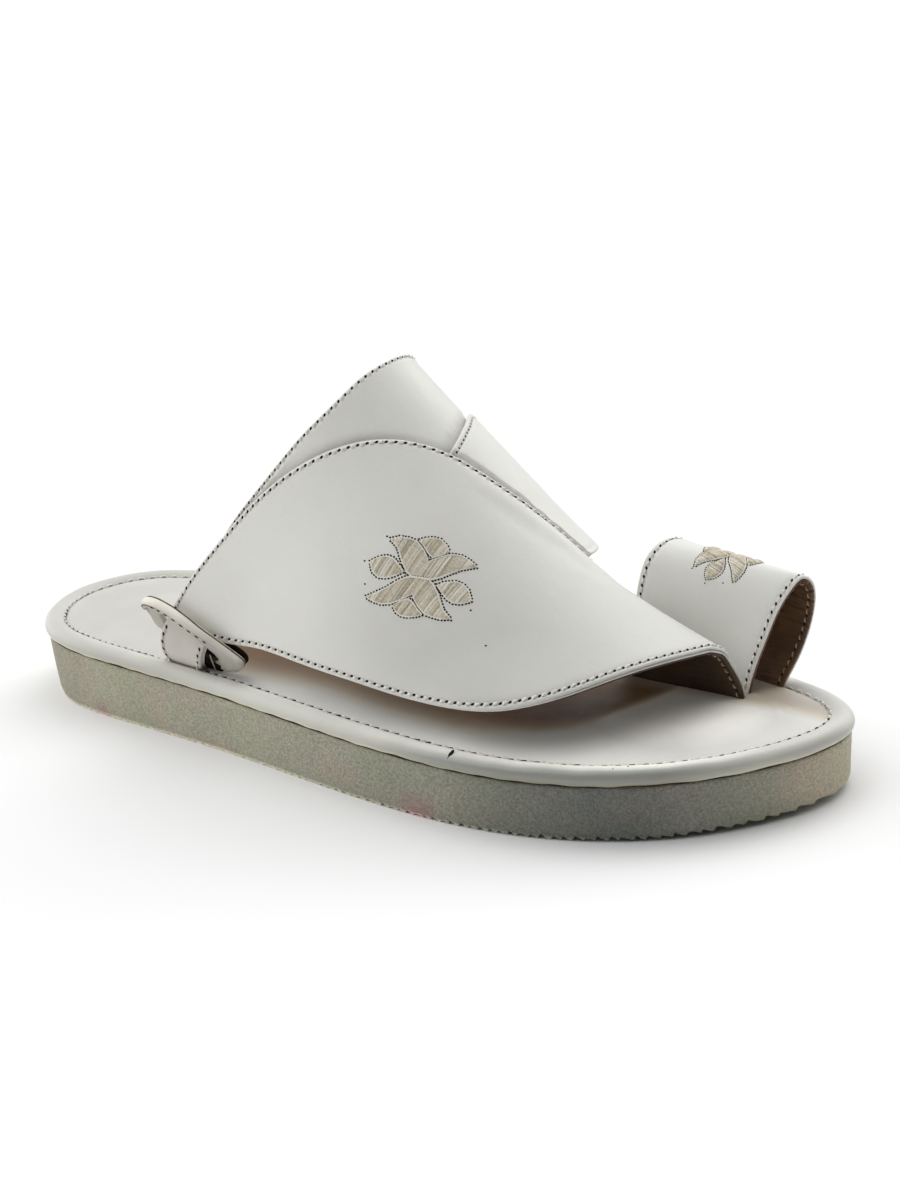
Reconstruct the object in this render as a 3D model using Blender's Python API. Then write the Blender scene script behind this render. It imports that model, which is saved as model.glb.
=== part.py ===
"""Toe-loop sandal for a right foot: a foam sole, a rolled rim, a padded insole, a crossed
leather upper held down through two side keepers, and a loop for the big toe.

X runs to the toe, +Y to the inner (big-toe) side and Z up, and the sole stands on z = 0.
Sizes and tables are in millimetres, and MM turns them into metres where a mesh is made.
"""
import math

import bmesh
import bpy
import numpy as np

MM = 0.001
GAP = 0.3
MIDDLE = (0.96, -0.48)  # middle of the finished sandal's box, in the tables' x and y

# Sole: the foam is thickest under the heel and curls up a little under the toes.
SOLE_LENGTH = 284.0
FOAM_AT_HEEL = 20.7
FOAM_AT_TOE = 15.9
TOE_SPRING = 2.1
SPRING_FROM_X = 60.0
SOLE_STATIONS = 44
FOAM_LEVELS = (  # share of the foam's height, how far in from the outline
    (0.00, 0.9),
    (0.05, 0.4),
    (0.50, 0.2),
    (1.00, 0.0),
)

# The outline seen from above, from the back of the heel round the outer side to the toe.
SOLE_OUTLINE = (  # x, y
    (-142.0, 1.8),
    (-127.3, -27.8),
    (-95.2, -37.5),
    (-48.0, -42.2),
    (17.7, -52.0),
    (70.2, -52.2),
    (104.4, -39.6),
    (129.3, -17.4),
    (142.0, 23.6),
    (133.0, 33.5),
    (117.0, 41.3),
    (101.0, 47.0),
    (61.4, 53.2),
    (10.1, 47.2),
    (-40.1, 41.0),
    (-98.7, 41.2),
    (-129.6, 30.0),
)

# Rim: leather rolled over the edge of the insole.
RIM_PROFILE = (  # in from the outline, height above the foam
    (0.5, 0.3),
    (-0.2, 1.2),
    (-0.1, 2.6),
    (0.6, 3.9),
    (2.0, 4.9),
    (3.6, 5.1),
    (4.7, 4.6),
    (4.7, 0.3),
)

# Insole: a shallow valley along the rim, then padding up to a low crown.
INSOLE_EDGE = 5.0
INSOLE_RINGS = (  # in from the outline, height above the foam
    (5.0, 4.5),
    (6.8, 4.6),
    (10.0, 5.0),
    (17.0, 5.4),
)

# The last: arch sections across the foot, from the outer wall over the crest to the
# inner wall. toe_inner_y is the inner wall of the vamp, between the first two toes.
LAST_BASE = 22.0
LAST_SECTIONS = (  # x, crest_y, crest_z, outer_y, inner_y, toe_inner_y
    (-70.0, 1.0, 168.0, -34.5, 33.9, 33.9),
    (-30.0, 3.0, 148.0, -35.0, 34.8, 34.8),
    (0.0, 5.0, 118.0, -40.0, 38.0, 37.0),
    (30.0, 6.0, 88.0, -43.0, 40.5, 33.0),
    (60.0, 6.5, 60.0, -46.0, 41.0, 20.0),
    (90.0, 7.0, 44.0, -44.5, 43.0, 16.5),
    (115.0, 6.0, 33.0, -36.0, 42.0, 15.0),
)
OUTER_ROUND = 1.8
INNER_ROUND = 2.2
TOE_INNER_ROUND = 1.95
DROP_PER_STEP = 25.0

# Leather panels: depth of each one's two faces over the last.
INSTEP_FACES = (0.0, 2.4)
CROSS_FACES = (1.5, 4.0)
VAMP_FACES = (1.9, 4.6)
STRAP_THICK = 2.6
LOOP_THICK = 2.4

# Mesh of each sheet: strips along it and across it.
INSTEP_STRIPS = (30, 8)
CROSS_STRIPS = (24, 8)
VAMP_STRIPS = (40, 12)
STRAP_STRIPS = (14, 3)
LOOP_STRIPS = (30, 6)

# A place on the last is x and a step: 0 on the crest, -1 and 1 at the outer and inner
# base, and beyond them straight down into the insole.
VAMP = (  # upper edge: x, step; lower and front edge: x, step
    (-60.7, -0.875, -46.0, -0.918),
    (-54.0, -0.826, -36.5, -0.917),
    (-40.5, -0.742, -24.7, -0.907),
    (-25.4, -0.634, -7.2, -0.898),
    (-10.9, -0.506, 12.5, -0.886),
    (2.0, -0.367, 31.1, -0.873),
    (13.7, -0.237, 48.8, -0.836),
    (25.0, -0.132, 65.0, -0.758),
    (35.9, -0.049, 78.8, -0.617),
    (45.0, 0.045, 88.5, -0.446),
    (53.0, 0.165, 96.5, -0.255),
    (60.5, 0.290, 102.5, -0.055),
    (65.5, 0.430, 105.4, 0.180),
    (68.0, 0.640, 106.6, 0.500),
    (68.5, 0.840, 109.0, 0.760),
    (68.5, 1.000, 110.1, 1.000),
    (68.5, 1.175, 110.3, 1.175),
)
INSTEP = (  # back edge: x, step; front edge: x, step
    (-58.8, -0.862, -45.8, -0.905),
    (-48.0, -0.790, -26.0, -0.860),
    (-35.0, -0.690, -4.0, -0.760),
    (-22.0, -0.568, 14.0, -0.600),
    (-10.0, -0.389, 30.0, -0.400),
    (-4.1, -0.218, 40.0, -0.220),
    (-1.2, -0.030, 45.0, 0.000),
    (-2.6, 0.180, 40.0, 0.220),
    (-8.0, 0.370, 27.0, 0.420),
    (-20.5, 0.555, 9.0, 0.600),
    (-35.0, 0.690, -8.0, 0.750),
    (-48.0, 0.795, -28.0, 0.860),
    (-58.8, 0.897, -46.5, 0.935),
)
CROSS = (  # back edge: x, step; front edge: x, step
    (30.0, -0.350, 62.0, -0.330),
    (25.5, -0.230, 62.5, -0.120),
    (22.0, -0.090, 62.0, 0.060),
    (19.0, 0.060, 59.5, 0.215),
    (14.5, 0.215, 50.0, 0.400),
    (5.0, 0.390, 34.0, 0.560),
    (-10.0, 0.545, 14.0, 0.700),
    (-28.0, 0.680, -8.0, 0.820),
    (-45.0, 0.785, -28.0, 0.912),
    (-60.7, 0.910, -46.0, 0.957),
)

# Outer strap end: from inside the vamp, behind the top of the keeper, out through its
# slot and down into the insole. The inner one is its mirror image about MIRROR_Y.
MIRROR_Y = -0.2
STRAP_START = (  # on the last: rear edge x, step; front edge x, step
    (-56.0, -0.842, -41.0, -0.904),
    (-61.5, -0.881, -46.8, -0.922),
)
STRAP = (  # rear edge: x, y, z; front edge: x, y, z
    (-64.7, -37.1, 38.6, -48.9, -38.1, 32.2),
    (-66.6, -37.6, 34.6, -50.0, -38.2, 29.6),
    (-67.4, -37.0, 30.6, -50.8, -37.6, 27.4),
    (-67.8, -35.2, 27.0, -52.3, -36.0, 25.4),
    (-68.1, -33.0, 24.0, -53.4, -34.1, 23.4),
    (-68.2, -32.4, 20.0, -53.5, -33.5, 19.9),
)
KEEPER_AT = (-53.2, -37.8, 36.4)
KEEPER_DROP = math.radians(17.5)  # its front end is lower than its rear end
KEEPER_SPLAY = math.radians(3.8)  # and a little further out
KEEPER_LEAN = math.radians(32.0)  # its top leans out from the foot
KEEPER_SIZE = (41.6, 16.2, 3.2)
KEEPER_SLOT = (25.6, 8.2)
KEEPER_SLOT_BACK = 2.1  # how far the slot lies behind the keeper's middle
KEEPER_CORNERS = 0.62
KEEPER_AROUND = 36
KEEPER_SECTION = 8
KEEPER_ROUND = 0.7

# Toe loop: its front and back edges as they rise from the outer leg to the crest and
# fall to the inner leg, on the outer face of the leather.
TOE_LOOP = (  # front edge: x, y, z; back edge: x, y, z
    (109.6, 20.6, 17.7, 68.0, 23.0, 17.7),
    (109.8, 20.6, 22.0, 68.0, 23.0, 22.0),
    (111.5, 22.8, 31.0, 70.0, 22.6, 36.0),
    (114.3, 24.5, 40.0, 72.2, 22.3, 49.5),
    (117.0, 26.8, 48.5, 73.6, 24.8, 58.5),
    (120.3, 30.4, 55.6, 75.3, 29.2, 62.8),
    (122.6, 34.2, 58.0, 77.0, 35.0, 63.8),
    (124.0, 38.2, 54.2, 78.3, 41.5, 61.0),
    (123.3, 40.6, 46.5, 78.6, 46.0, 53.5),
    (121.6, 40.2, 37.8, 77.0, 48.0, 43.0),
    (118.9, 38.0, 28.8, 73.5, 47.5, 32.0),
    (116.3, 35.4, 22.0, 70.0, 46.0, 22.0),
    (116.0, 35.0, 17.7, 70.0, 45.6, 17.7),
)

# Slits through the insole for the legs of the vamp, the loop and the straps. Beside the
# rim a slit is a notch, open to the insole's edge.
VAMP_SLIT = (  # x, step; x, step
    (66.0, 0.880, 112.0, 0.880),
    (66.0, 1.400, 112.0, 1.400),
)
SLIT_PLAY = 0.5
SLIT_END = 0.8
SLITS_MEET = 1.6
SLIT_BOTTOM = 14.0
SLIT_TOP = 30.0
NOTCH_REACH = 4.5
SLIT_STRIPS = (2, 12)

LEATHER = (0.80, 0.79, 0.76)
FOOTBED_LEATHER = (0.76, 0.74, 0.70)
FOAM = (0.44, 0.43, 0.38)


def material(name, color, roughness):
    mat = bpy.data.materials.new(name)
    mat.use_nodes = True
    shader = mat.node_tree.nodes["Principled BSDF"]
    shader.inputs["Base Color"].default_value = (*color, 1.0)
    shader.inputs["Roughness"].default_value = roughness
    shader.inputs["Metallic"].default_value = 0.0
    return mat


def spline(knots, rows, closed=False):
    """Cubic spline through the rows at these knots, as a function of the knot value."""
    knots = np.array(knots, float)
    rows = np.array(rows, float)
    step = np.diff(knots)
    slope = np.diff(rows, axis=0) / step[:, None]
    count = len(knots)
    system = np.zeros((count, count))
    target = np.zeros(rows.shape)
    for i in range(1, count - 1):
        system[i, i - 1:i + 2] = (step[i - 1], 2 * (step[i - 1] + step[i]), step[i])
        target[i] = 6 * (slope[i] - slope[i - 1])
    system[0, 0] = 1.0
    system[-1, -1] = 1.0
    if closed:
        system[0, -1] = -1.0
        system[-1, [0, 1, -2]] = (2 * step[0], step[0], step[-1])
        system[-1, -1] = 2 * step[-1]
        target[-1] = 6 * (slope[0] - slope[-1])
    bend = np.linalg.solve(system, target)

    def value(at):
        at = np.asarray(at, float)
        i = np.clip(np.searchsorted(knots, at, side="right") - 1, 0, count - 2)
        width = step[i][..., None]
        after = (at - knots[i])[..., None]
        before = width - after
        curve = (bend[i] * before**3 + bend[i + 1] * after**3) / (6 * width)
        start = (rows[i] / width - bend[i] * width / 6) * before
        end = (rows[i + 1] / width - bend[i + 1] * width / 6) * after
        return curve + start + end

    return value


def new_object(name, verts, faces, mat):
    """A closed mesh object from points in millimetres, with its faces turned outward."""
    bm = bmesh.new()
    centred = np.array(verts) - (*MIDDLE, 0.0)
    made = [bm.verts.new(point) for point in centred * MM]
    for face in faces:
        bm.faces.new([made[i] for i in face])
    bmesh.ops.recalc_face_normals(bm, faces=bm.faces)
    mesh = bpy.data.meshes.new(name)
    bm.to_mesh(mesh)
    bm.free()
    mesh.shade_smooth()
    mesh.set_sharp_from_angle(angle=math.radians(40))
    mesh.materials.append(mat)
    obj = bpy.data.objects.new(name, mesh)
    bpy.context.scene.collection.objects.link(obj)
    return obj


def hide_guide(obj):
    obj.hide_render = True
    obj.display_type = "WIRE"


def boolean(obj, other, operation):
    cut = obj.modifiers.new(other.name, "BOOLEAN")
    cut.operation = operation
    cut.solver = "EXACT"
    cut.object = other
    hide_guide(other)


# ---------------------------------------------------------------- sole


def foam_height(x):
    share = (x + SOLE_LENGTH / 2) / SOLE_LENGTH
    return FOAM_AT_HEEL + (FOAM_AT_TOE - FOAM_AT_HEEL) * share


def floor_rise(x):
    share = np.clip((x - SPRING_FROM_X) / (SOLE_LENGTH / 2 - SPRING_FROM_X), 0.0, 1.0)
    return TOE_SPRING * share**2


def foam_top(x):
    return floor_rise(x) + foam_height(x)


def outline_points():
    """The outline and its outward directions, in pairs across the sole: point i on the
    outer side faces point -i on the inner side."""
    rows = np.array(SOLE_OUTLINE + SOLE_OUTLINE[:1])
    knots = np.concatenate([[0.0], np.cumsum(np.linalg.norm(np.diff(rows, axis=0), axis=1))])
    curve = spline(knots, rows, closed=True)
    toe = knots[[row[0] for row in SOLE_OUTLINE].index(SOLE_LENGTH / 2)]
    way_out = np.linspace(0.0, toe, SOLE_STATIONS + 1)[:-1]
    way_back = np.linspace(toe, knots[-1], SOLE_STATIONS + 1)[:-1]
    at = np.concatenate([way_out, way_back])
    nudge = 0.5
    along = curve((at + nudge) % knots[-1]) - curve((at - nudge) % knots[-1])
    outward = np.stack([along[:, 1], -along[:, 0]], axis=1)
    outward /= np.linalg.norm(outward, axis=1)[:, None]
    return curve(at), outward


def sole_ring(inset, height_of):
    """One closed ring round the sole, this far in from the outline."""
    points, outward = outline_points()
    inside = points - outward * inset
    return np.column_stack([inside, height_of(inside[:, 0])])


def ring_faces(rings, count):
    """Quads between neighbouring rings of count points each."""
    faces = []
    for r in range(rings - 1):
        for i in range(count):
            j = (i + 1) % count
            faces.append((r * count + i, r * count + j, (r + 1) * count + j, (r + 1) * count + i))
    return faces


def cap_faces(first, count):
    """Strips from side to side that close the ring whose points start at first."""
    faces = [(first, first + 1, first + count - 1)]
    for i in range(1, count // 2 - 1):
        faces.append((first + i, first + i + 1, first + count - i - 1, first + count - i))
    faces.append((first + count // 2 - 1, first + count // 2, first + count // 2 + 1))
    return faces


def capped_stack(name, rings, mat):
    count = len(rings[0])
    faces = ring_faces(len(rings), count)
    faces += cap_faces(0, count)
    faces += cap_faces((len(rings) - 1) * count, count)
    return new_object(name, np.vstack(rings), faces, mat)


def make_outsole(mat):
    rings = []
    for share, inset in FOAM_LEVELS:
        rings.append(sole_ring(inset, lambda x: floor_rise(x) + share * foam_height(x)))
    return capped_stack("outsole", rings, mat)


def make_rim(mat):
    rings = [sole_ring(inset, lambda x: foam_top(x) + up) for inset, up in RIM_PROFILE]
    count = len(rings[0])
    faces = ring_faces(len(rings), count)
    last = (len(rings) - 1) * count
    for i in range(count):
        j = (i + 1) % count
        faces.append((last + i, last + j, j, i))
    return new_object("rim", np.vstack(rings), faces, mat)


def make_insole(mat):
    rings = [sole_ring(INSOLE_EDGE, lambda x: foam_top(x) + GAP)]
    for inset, up in INSOLE_RINGS:
        rings.append(sole_ring(inset, lambda x: foam_top(x) + up))
    return capped_stack("insole", rings, mat)


# ---------------------------------------------------------------- upper


LAST_AT = spline([row[0] for row in LAST_SECTIONS], [row[1:] for row in LAST_SECTIONS])


def last_point(x, step, toe_box=False):
    """The last's surface at x and step, where toe_box takes the vamp's own inner wall."""
    crest_y, crest_z, outer_y, inner_y, toe_inner_y = LAST_AT(x)
    side_y = outer_y
    power = 2 / OUTER_ROUND
    if step > 0:
        side_y = toe_inner_y if toe_box else inner_y
        power = 2 / (TOE_INNER_ROUND if toe_box else INNER_ROUND)
    angle = (1 - min(abs(step), 1.0)) * math.pi / 2
    y = crest_y + (side_y - crest_y) * math.cos(angle) ** power
    z = LAST_BASE + (crest_z - LAST_BASE) * math.sin(angle) ** power
    below = max(abs(step) - 1.0, 0.0) * DROP_PER_STEP
    return np.array([x, y, z - below])


def last_offset(x, step, depth, toe_box=False):
    """A point this far out over the last, along its own normal."""
    nudge_x = 0.5
    nudge_step = 0.01
    inside = max(-0.98, min(0.98, step))
    along = last_point(x + nudge_x, inside, toe_box) - last_point(x - nudge_x, inside, toe_box)
    round_ = (last_point(x, inside + nudge_step, toe_box)
              - last_point(x, inside - nudge_step, toe_box))
    normal = np.cross(round_, along)
    normal /= np.linalg.norm(normal)
    return last_point(x, step, toe_box) - normal * depth


def slab(name, outer, inner, mat):
    """A sheet with thickness, from two grids of points that face each other."""
    rows, cols = outer.shape[:2]
    verts = np.vstack([outer.reshape(-1, 3), inner.reshape(-1, 3)])
    below = rows * cols
    faces = []
    for r in range(rows - 1):
        for c in range(cols - 1):
            a = r * cols + c
            quad = (a, a + 1, a + cols + 1, a + cols)
            faces.append(quad)
            faces.append(tuple(below + i for i in reversed(quad)))
    border = list(range(cols))
    border += [r * cols + cols - 1 for r in range(1, rows)]
    border += [(rows - 1) * cols + c for c in range(cols - 2, -1, -1)]
    border += [r * cols for r in range(rows - 2, 0, -1)]
    for i, a in enumerate(border):
        b = border[(i + 1) % len(border)]
        faces.append((a, below + a, below + b, b))
    return new_object(name, verts, faces, mat)


def panel_grid(table, strips, depth, toe_box=False):
    """Points over the last between a table's two edges."""
    along, across = strips
    edges = spline(range(len(table)), table)(np.linspace(0, len(table) - 1, along + 1))
    grid = np.zeros((along + 1, across + 1, 3))
    for i, (back_x, back_step, front_x, front_step) in enumerate(edges):
        for j, share in enumerate(np.linspace(0, 1, across + 1)):
            x = back_x + (front_x - back_x) * share
            step = back_step + (front_step - back_step) * share
            grid[i, j] = last_offset(x, step, depth, toe_box)
    return grid


def make_panel(name, table, strips, faces, mat, toe_box=False):
    low, high = faces
    outer = panel_grid(table, strips, high, toe_box)
    inner = panel_grid(table, strips, low, toe_box)
    return slab(name, outer, inner, mat)


def ruled_slab(name, table, strips, low, high, mat):
    """A sheet ruled between a table's two edge curves, from low to high over them."""
    along, across = strips
    edges = spline(range(len(table)), table)(np.linspace(0, len(table) - 1, along + 1))
    first = edges[:, None, :3]
    second = edges[:, None, 3:]
    share = np.linspace(0, 1, across + 1)[None, :, None]
    middle = first + (second - first) * share
    run = np.gradient(middle, axis=0)
    side = np.broadcast_to(second - first, middle.shape)
    normal = np.cross(run, side)
    normal /= np.linalg.norm(normal, axis=2)[:, :, None]
    return slab(name, middle + normal * high, middle + normal * low, mat)


def strap_rows(side):
    """Rows of a strap end, from inside the vamp's end on the last down to its foot: side
    is -1 for the outer one and 1 for the inner one."""
    depth = sum(VAMP_FACES) / 2
    rows = []
    for rear_x, rear_step, front_x, front_step in STRAP_START:
        rear = last_offset(rear_x, rear_step, depth)
        front = last_offset(front_x, front_step, depth)
        rows.append((*rear, *front))
    rows = np.array(rows + list(STRAP))
    if side > 0:
        rows[:, [1, 4]] = 2 * MIRROR_Y - rows[:, [1, 4]]
    return rows


def make_upper(mat):
    vamp = make_panel("upper", VAMP, VAMP_STRIPS, VAMP_FACES, mat, toe_box=True)
    instep = make_panel("instep_panel", INSTEP, INSTEP_STRIPS, INSTEP_FACES, mat)
    cross = make_panel("cross_panel", CROSS, CROSS_STRIPS, CROSS_FACES, mat)
    half = STRAP_THICK / 2
    outer_strap = ruled_slab("outer_strap", strap_rows(-1), STRAP_STRIPS, -half, half, mat)
    inner_strap = ruled_slab("inner_strap", strap_rows(1), STRAP_STRIPS, -half, half, mat)
    for piece in (instep, cross, outer_strap, inner_strap):
        boolean(vamp, piece, "UNION")
    return vamp


def slit(name, row, low, high, mat):
    """A cutter through the insole for the leg that this row of its table ends, between two
    faces at these distances from the row's line."""
    first = np.array(row[:2])
    second = np.array(row[3:5])
    along = second - first
    along *= SLIT_END / np.linalg.norm(along)
    rows = [(*(first - along), z, *(second + along), z) for z in (SLIT_BOTTOM, SLIT_TOP)]
    return ruled_slab(name, rows, SLIT_STRIPS, low, high, mat)


def cut_slits(insole, mat):
    vamp_low, vamp_high = VAMP_FACES
    vamp_faces = (vamp_low - SLIT_PLAY, vamp_high + SLIT_PLAY)
    beside = STRAP_THICK / 2 + SLIT_PLAY
    cutters = (
        make_panel("vamp_slit", VAMP_SLIT, SLIT_STRIPS, vamp_faces, mat, toe_box=True),
        slit("loop_outer_slit", TOE_LOOP[0], -LOOP_THICK - SLIT_PLAY, SLITS_MEET, mat),
        slit("loop_inner_slit", TOE_LOOP[-1], -NOTCH_REACH, LOOP_THICK + SLIT_PLAY, mat),
        slit("strap_outer_slit", strap_rows(-1)[-1], -NOTCH_REACH, beside, mat),
        slit("strap_inner_slit", strap_rows(1)[-1], -beside, NOTCH_REACH, mat),
    )
    for cutter in cutters:
        boolean(insole, cutter, "DIFFERENCE")


def make_toe_loop(mat):
    return ruled_slab("toe_loop", TOE_LOOP, LOOP_STRIPS, -LOOP_THICK, 0.0, mat)


def signed_power(value, power):
    return math.copysign(abs(value) ** power, value)


def make_keeper(name, side, mat):
    """An oblong ring with a slot: side is -1 for the outer one and 1 for the inner one."""
    centre = np.array(KEEPER_AT)
    along = np.array((math.cos(KEEPER_DROP), -math.sin(KEEPER_SPLAY), -math.sin(KEEPER_DROP)))
    along /= np.linalg.norm(along)
    outward = np.cross(along, (0.0, 0.0, 1.0))
    outward /= np.linalg.norm(outward)
    upright = np.cross(outward, along)
    up = upright * math.cos(KEEPER_LEAN) + outward * math.sin(KEEPER_LEAN)
    face = np.cross(along, up)
    length, width, thick = KEEPER_SIZE
    slot_length, slot_width = KEEPER_SLOT
    verts = []
    for i in range(KEEPER_AROUND):
        turn = 2 * math.pi * i / KEEPER_AROUND
        flat_along = signed_power(math.cos(turn), KEEPER_CORNERS)
        flat_up = signed_power(math.sin(turn), KEEPER_CORNERS)
        for k in range(KEEPER_SECTION):
            tilt = 2 * math.pi * (k + 0.5) / KEEPER_SECTION
            share = 0.5 - 0.5 * signed_power(math.cos(tilt), KEEPER_ROUND)
            height = thick / 2 * signed_power(math.sin(tilt), KEEPER_ROUND)
            reach = (slot_length + (length - slot_length) * share) / 2 * flat_along
            reach -= KEEPER_SLOT_BACK * (1 - share)
            rise = (slot_width + (width - slot_width) * share) / 2 * flat_up
            verts.append(centre + along * reach + up * rise + face * height)
    verts = np.array(verts)
    if side > 0:
        verts[:, 1] = 2 * MIRROR_Y - verts[:, 1]
    faces = []
    for i in range(KEEPER_AROUND):
        j = (i + 1) % KEEPER_AROUND
        for k in range(KEEPER_SECTION):
            m = (k + 1) % KEEPER_SECTION
            faces.append((
                i * KEEPER_SECTION + k,
                j * KEEPER_SECTION + k,
                j * KEEPER_SECTION + m,
                i * KEEPER_SECTION + m,
            ))
    return new_object(name, verts, faces, mat)


for old in list(bpy.data.objects):
    bpy.data.objects.remove(old, do_unlink=True)

leather = material("leather_white", LEATHER, 0.45)
footbed = material("leather_footbed", FOOTBED_LEATHER, 0.5)
foam = material("foam_grey", FOAM, 0.9)

outsole = make_outsole(foam)
rim = make_rim(leather)
insole = make_insole(footbed)
upper = make_upper(leather)
toe_loop = make_toe_loop(leather)
keeper_outer = make_keeper("keeper_outer", -1, leather)
keeper_inner = make_keeper("keeper_inner", 1, leather)
cut_slits(insole, footbed)
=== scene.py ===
"""Looks of the toe-loop sandal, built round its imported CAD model.

Tables and working sizes are in millimetres, in the axes of the CAD source's tables, and
new_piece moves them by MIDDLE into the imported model's frame and turns them into metres.
"""

import math

import bmesh
import bpy
import numpy as np
from mathutils import Matrix, Vector, kdtree
from mathutils.bvhtree import BVHTree


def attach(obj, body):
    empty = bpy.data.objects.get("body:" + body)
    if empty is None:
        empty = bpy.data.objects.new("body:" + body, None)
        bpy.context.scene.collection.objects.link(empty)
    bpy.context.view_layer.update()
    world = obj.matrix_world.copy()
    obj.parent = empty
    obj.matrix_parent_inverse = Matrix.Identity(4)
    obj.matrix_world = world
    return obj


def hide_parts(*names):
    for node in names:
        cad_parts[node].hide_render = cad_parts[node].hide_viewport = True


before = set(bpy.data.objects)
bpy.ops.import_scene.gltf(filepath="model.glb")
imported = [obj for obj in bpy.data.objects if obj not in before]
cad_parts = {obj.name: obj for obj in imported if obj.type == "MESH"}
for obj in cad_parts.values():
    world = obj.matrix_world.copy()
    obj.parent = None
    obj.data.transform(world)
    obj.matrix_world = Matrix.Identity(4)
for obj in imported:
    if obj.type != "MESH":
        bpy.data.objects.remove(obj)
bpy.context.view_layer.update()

MM = 0.001
MIDDLE = np.array((0.96, -0.48, 0))
UP = (0, 0, 1)
SIDES = (("outer", -1), ("inner", 1))
RANDOM = np.random.default_rng(7)

# ---------------------------------------------------------------- tables of the CAD source

SOLE_LENGTH = 284
FOAM_AT_HEEL = 20.7
FOAM_AT_TOE = 15.9
TOE_SPRING = 2.1
SPRING_FROM_X = 60
SOLE_OUTLINE = (  # x, y
    (-142, 1.8), (-127.3, -27.8), (-95.2, -37.5), (-48, -42.2), (17.7, -52),
    (70.2, -52.2), (104.4, -39.6), (129.3, -17.4), (142, 23.6), (133, 33.5),
    (117, 41.3), (101, 47), (61.4, 53.2), (10.1, 47.2), (-40.1, 41),
    (-98.7, 41.2), (-129.6, 30),
)
LAST_BASE = 22
LAST_SECTIONS = (  # x, crest_y, crest_z, outer_y, inner_y, toe_inner_y
    (-70, 1, 168, -34.5, 33.9, 33.9),
    (-30, 3, 148, -35, 34.8, 34.8),
    (0, 5, 118, -40, 38, 37),
    (30, 6, 88, -43, 40.5, 33),
    (60, 6.5, 60, -46, 41, 20),
    (90, 7, 44, -44.5, 43, 16.5),
    (115, 6, 33, -36, 42, 15),
)
OUTER_ROUND = 1.8
INNER_ROUND = 2.2
TOE_INNER_ROUND = 1.95
DROP_PER_STEP = 25
INSTEP_FACES = (0, 2.4)
CROSS_FACES = (1.5, 4)
VAMP_FACES = (1.9, 4.6)
STRAP_THICK = 2.6
LOOP_THICK = 2.4
VAMP = (  # upper edge: x, step; lower and front edge: x, step
    (-60.7, -0.875, -46, -0.918),
    (-54, -0.826, -36.5, -0.917),
    (-40.5, -0.742, -24.7, -0.907),
    (-25.4, -0.634, -7.2, -0.898),
    (-10.9, -0.506, 12.5, -0.886),
    (2, -0.367, 31.1, -0.873),
    (13.7, -0.237, 48.8, -0.836),
    (25, -0.132, 65, -0.758),
    (35.9, -0.049, 78.8, -0.617),
    (45, 0.045, 88.5, -0.446),
    (53, 0.165, 96.5, -0.255),
    (60.5, 0.290, 102.5, -0.055),
    (65.5, 0.430, 105.4, 0.180),
    (68, 0.640, 106.6, 0.500),
    (68.5, 0.840, 109, 0.760),
    (68.5, 1.000, 110.1, 1.000),
    (68.5, 1.175, 110.3, 1.175),
)
INSTEP = (  # back edge: x, step; front edge: x, step
    (-58.8, -0.862, -45.8, -0.905),
    (-48, -0.790, -26, -0.860),
    (-35, -0.690, -4, -0.760),
    (-22, -0.568, 14, -0.600),
    (-10, -0.389, 30, -0.400),
    (-4.1, -0.218, 40, -0.220),
    (-1.2, -0.030, 45, 0.000),
    (-2.6, 0.180, 40, 0.220),
    (-8, 0.370, 27, 0.420),
    (-20.5, 0.555, 9, 0.600),
    (-35, 0.690, -8, 0.750),
    (-48, 0.795, -28, 0.860),
    (-58.8, 0.897, -46.5, 0.935),
)
CROSS = (  # back edge: x, step; front edge: x, step
    (26.5, -0.350, 60.5, -0.330),
    (23.7, -0.230, 60.5, -0.120),
    (22.1, -0.090, 60, 0.060),
    (19.3, 0.060, 58.7, 0.215),
    (15.2, 0.215, 52, 0.400),
    (9, 0.390, 34, 0.560),
    (-10, 0.545, 14, 0.700),
    (-28, 0.680, -8, 0.820),
    (-45, 0.785, -28, 0.912),
    (-60.7, 0.910, -46, 0.957),
)
MIRROR_Y = -0.2
STRAP_START = (  # on the last: rear edge x, step; front edge x, step
    (-56, -0.842, -41, -0.904),
    (-61.5, -0.881, -46.8, -0.922),
)
STRAP = (  # rear edge: x, y, z; front edge: x, y, z
    (-64.7, -37.1, 38.6, -48.9, -38.1, 32.2),
    (-66.6, -37.6, 34.6, -50, -38.2, 29.6),
    (-67.4, -37, 30.6, -50.8, -37.6, 27.4),
    (-67.8, -35.2, 27, -52.3, -36, 25.4),
    (-68.1, -33, 24, -53.4, -34.1, 23.4),
    (-68.2, -32.4, 20, -53.5, -33.5, 19.9),
)
KEEPER_AT = (-53.2, -37.8, 36.4)
KEEPER_DROP = math.radians(17.5)
KEEPER_SPLAY = math.radians(3.8)
KEEPER_LEAN = math.radians(32)
TOE_LOOP = (  # front edge: x, y, z; back edge: x, y, z
    (109.6, 20.6, 17.7, 68, 23, 17.7),
    (109.8, 20.6, 22, 68, 23, 22),
    (111.5, 22.8, 31, 70, 22.6, 36),
    (114.3, 24.5, 40, 72.2, 22.3, 49.5),
    (117, 26.8, 48.5, 73.6, 24.8, 58.5),
    (120.3, 30.4, 55.6, 75.3, 29.2, 62.8),
    (122.6, 34.2, 58, 77, 35, 63.8),
    (124, 38.2, 54.2, 78.3, 41.5, 61),
    (123.3, 40.6, 46.5, 78.6, 46, 53.5),
    (121.6, 40.2, 37.8, 77, 48, 43),
    (118.9, 38, 28.8, 73.5, 47.5, 32),
    (116.3, 35.4, 22, 70, 46, 22),
    (116, 35, 17.7, 70, 45.6, 17.7),
)

# ---------------------------------------------------------------- sizes of the details

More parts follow.
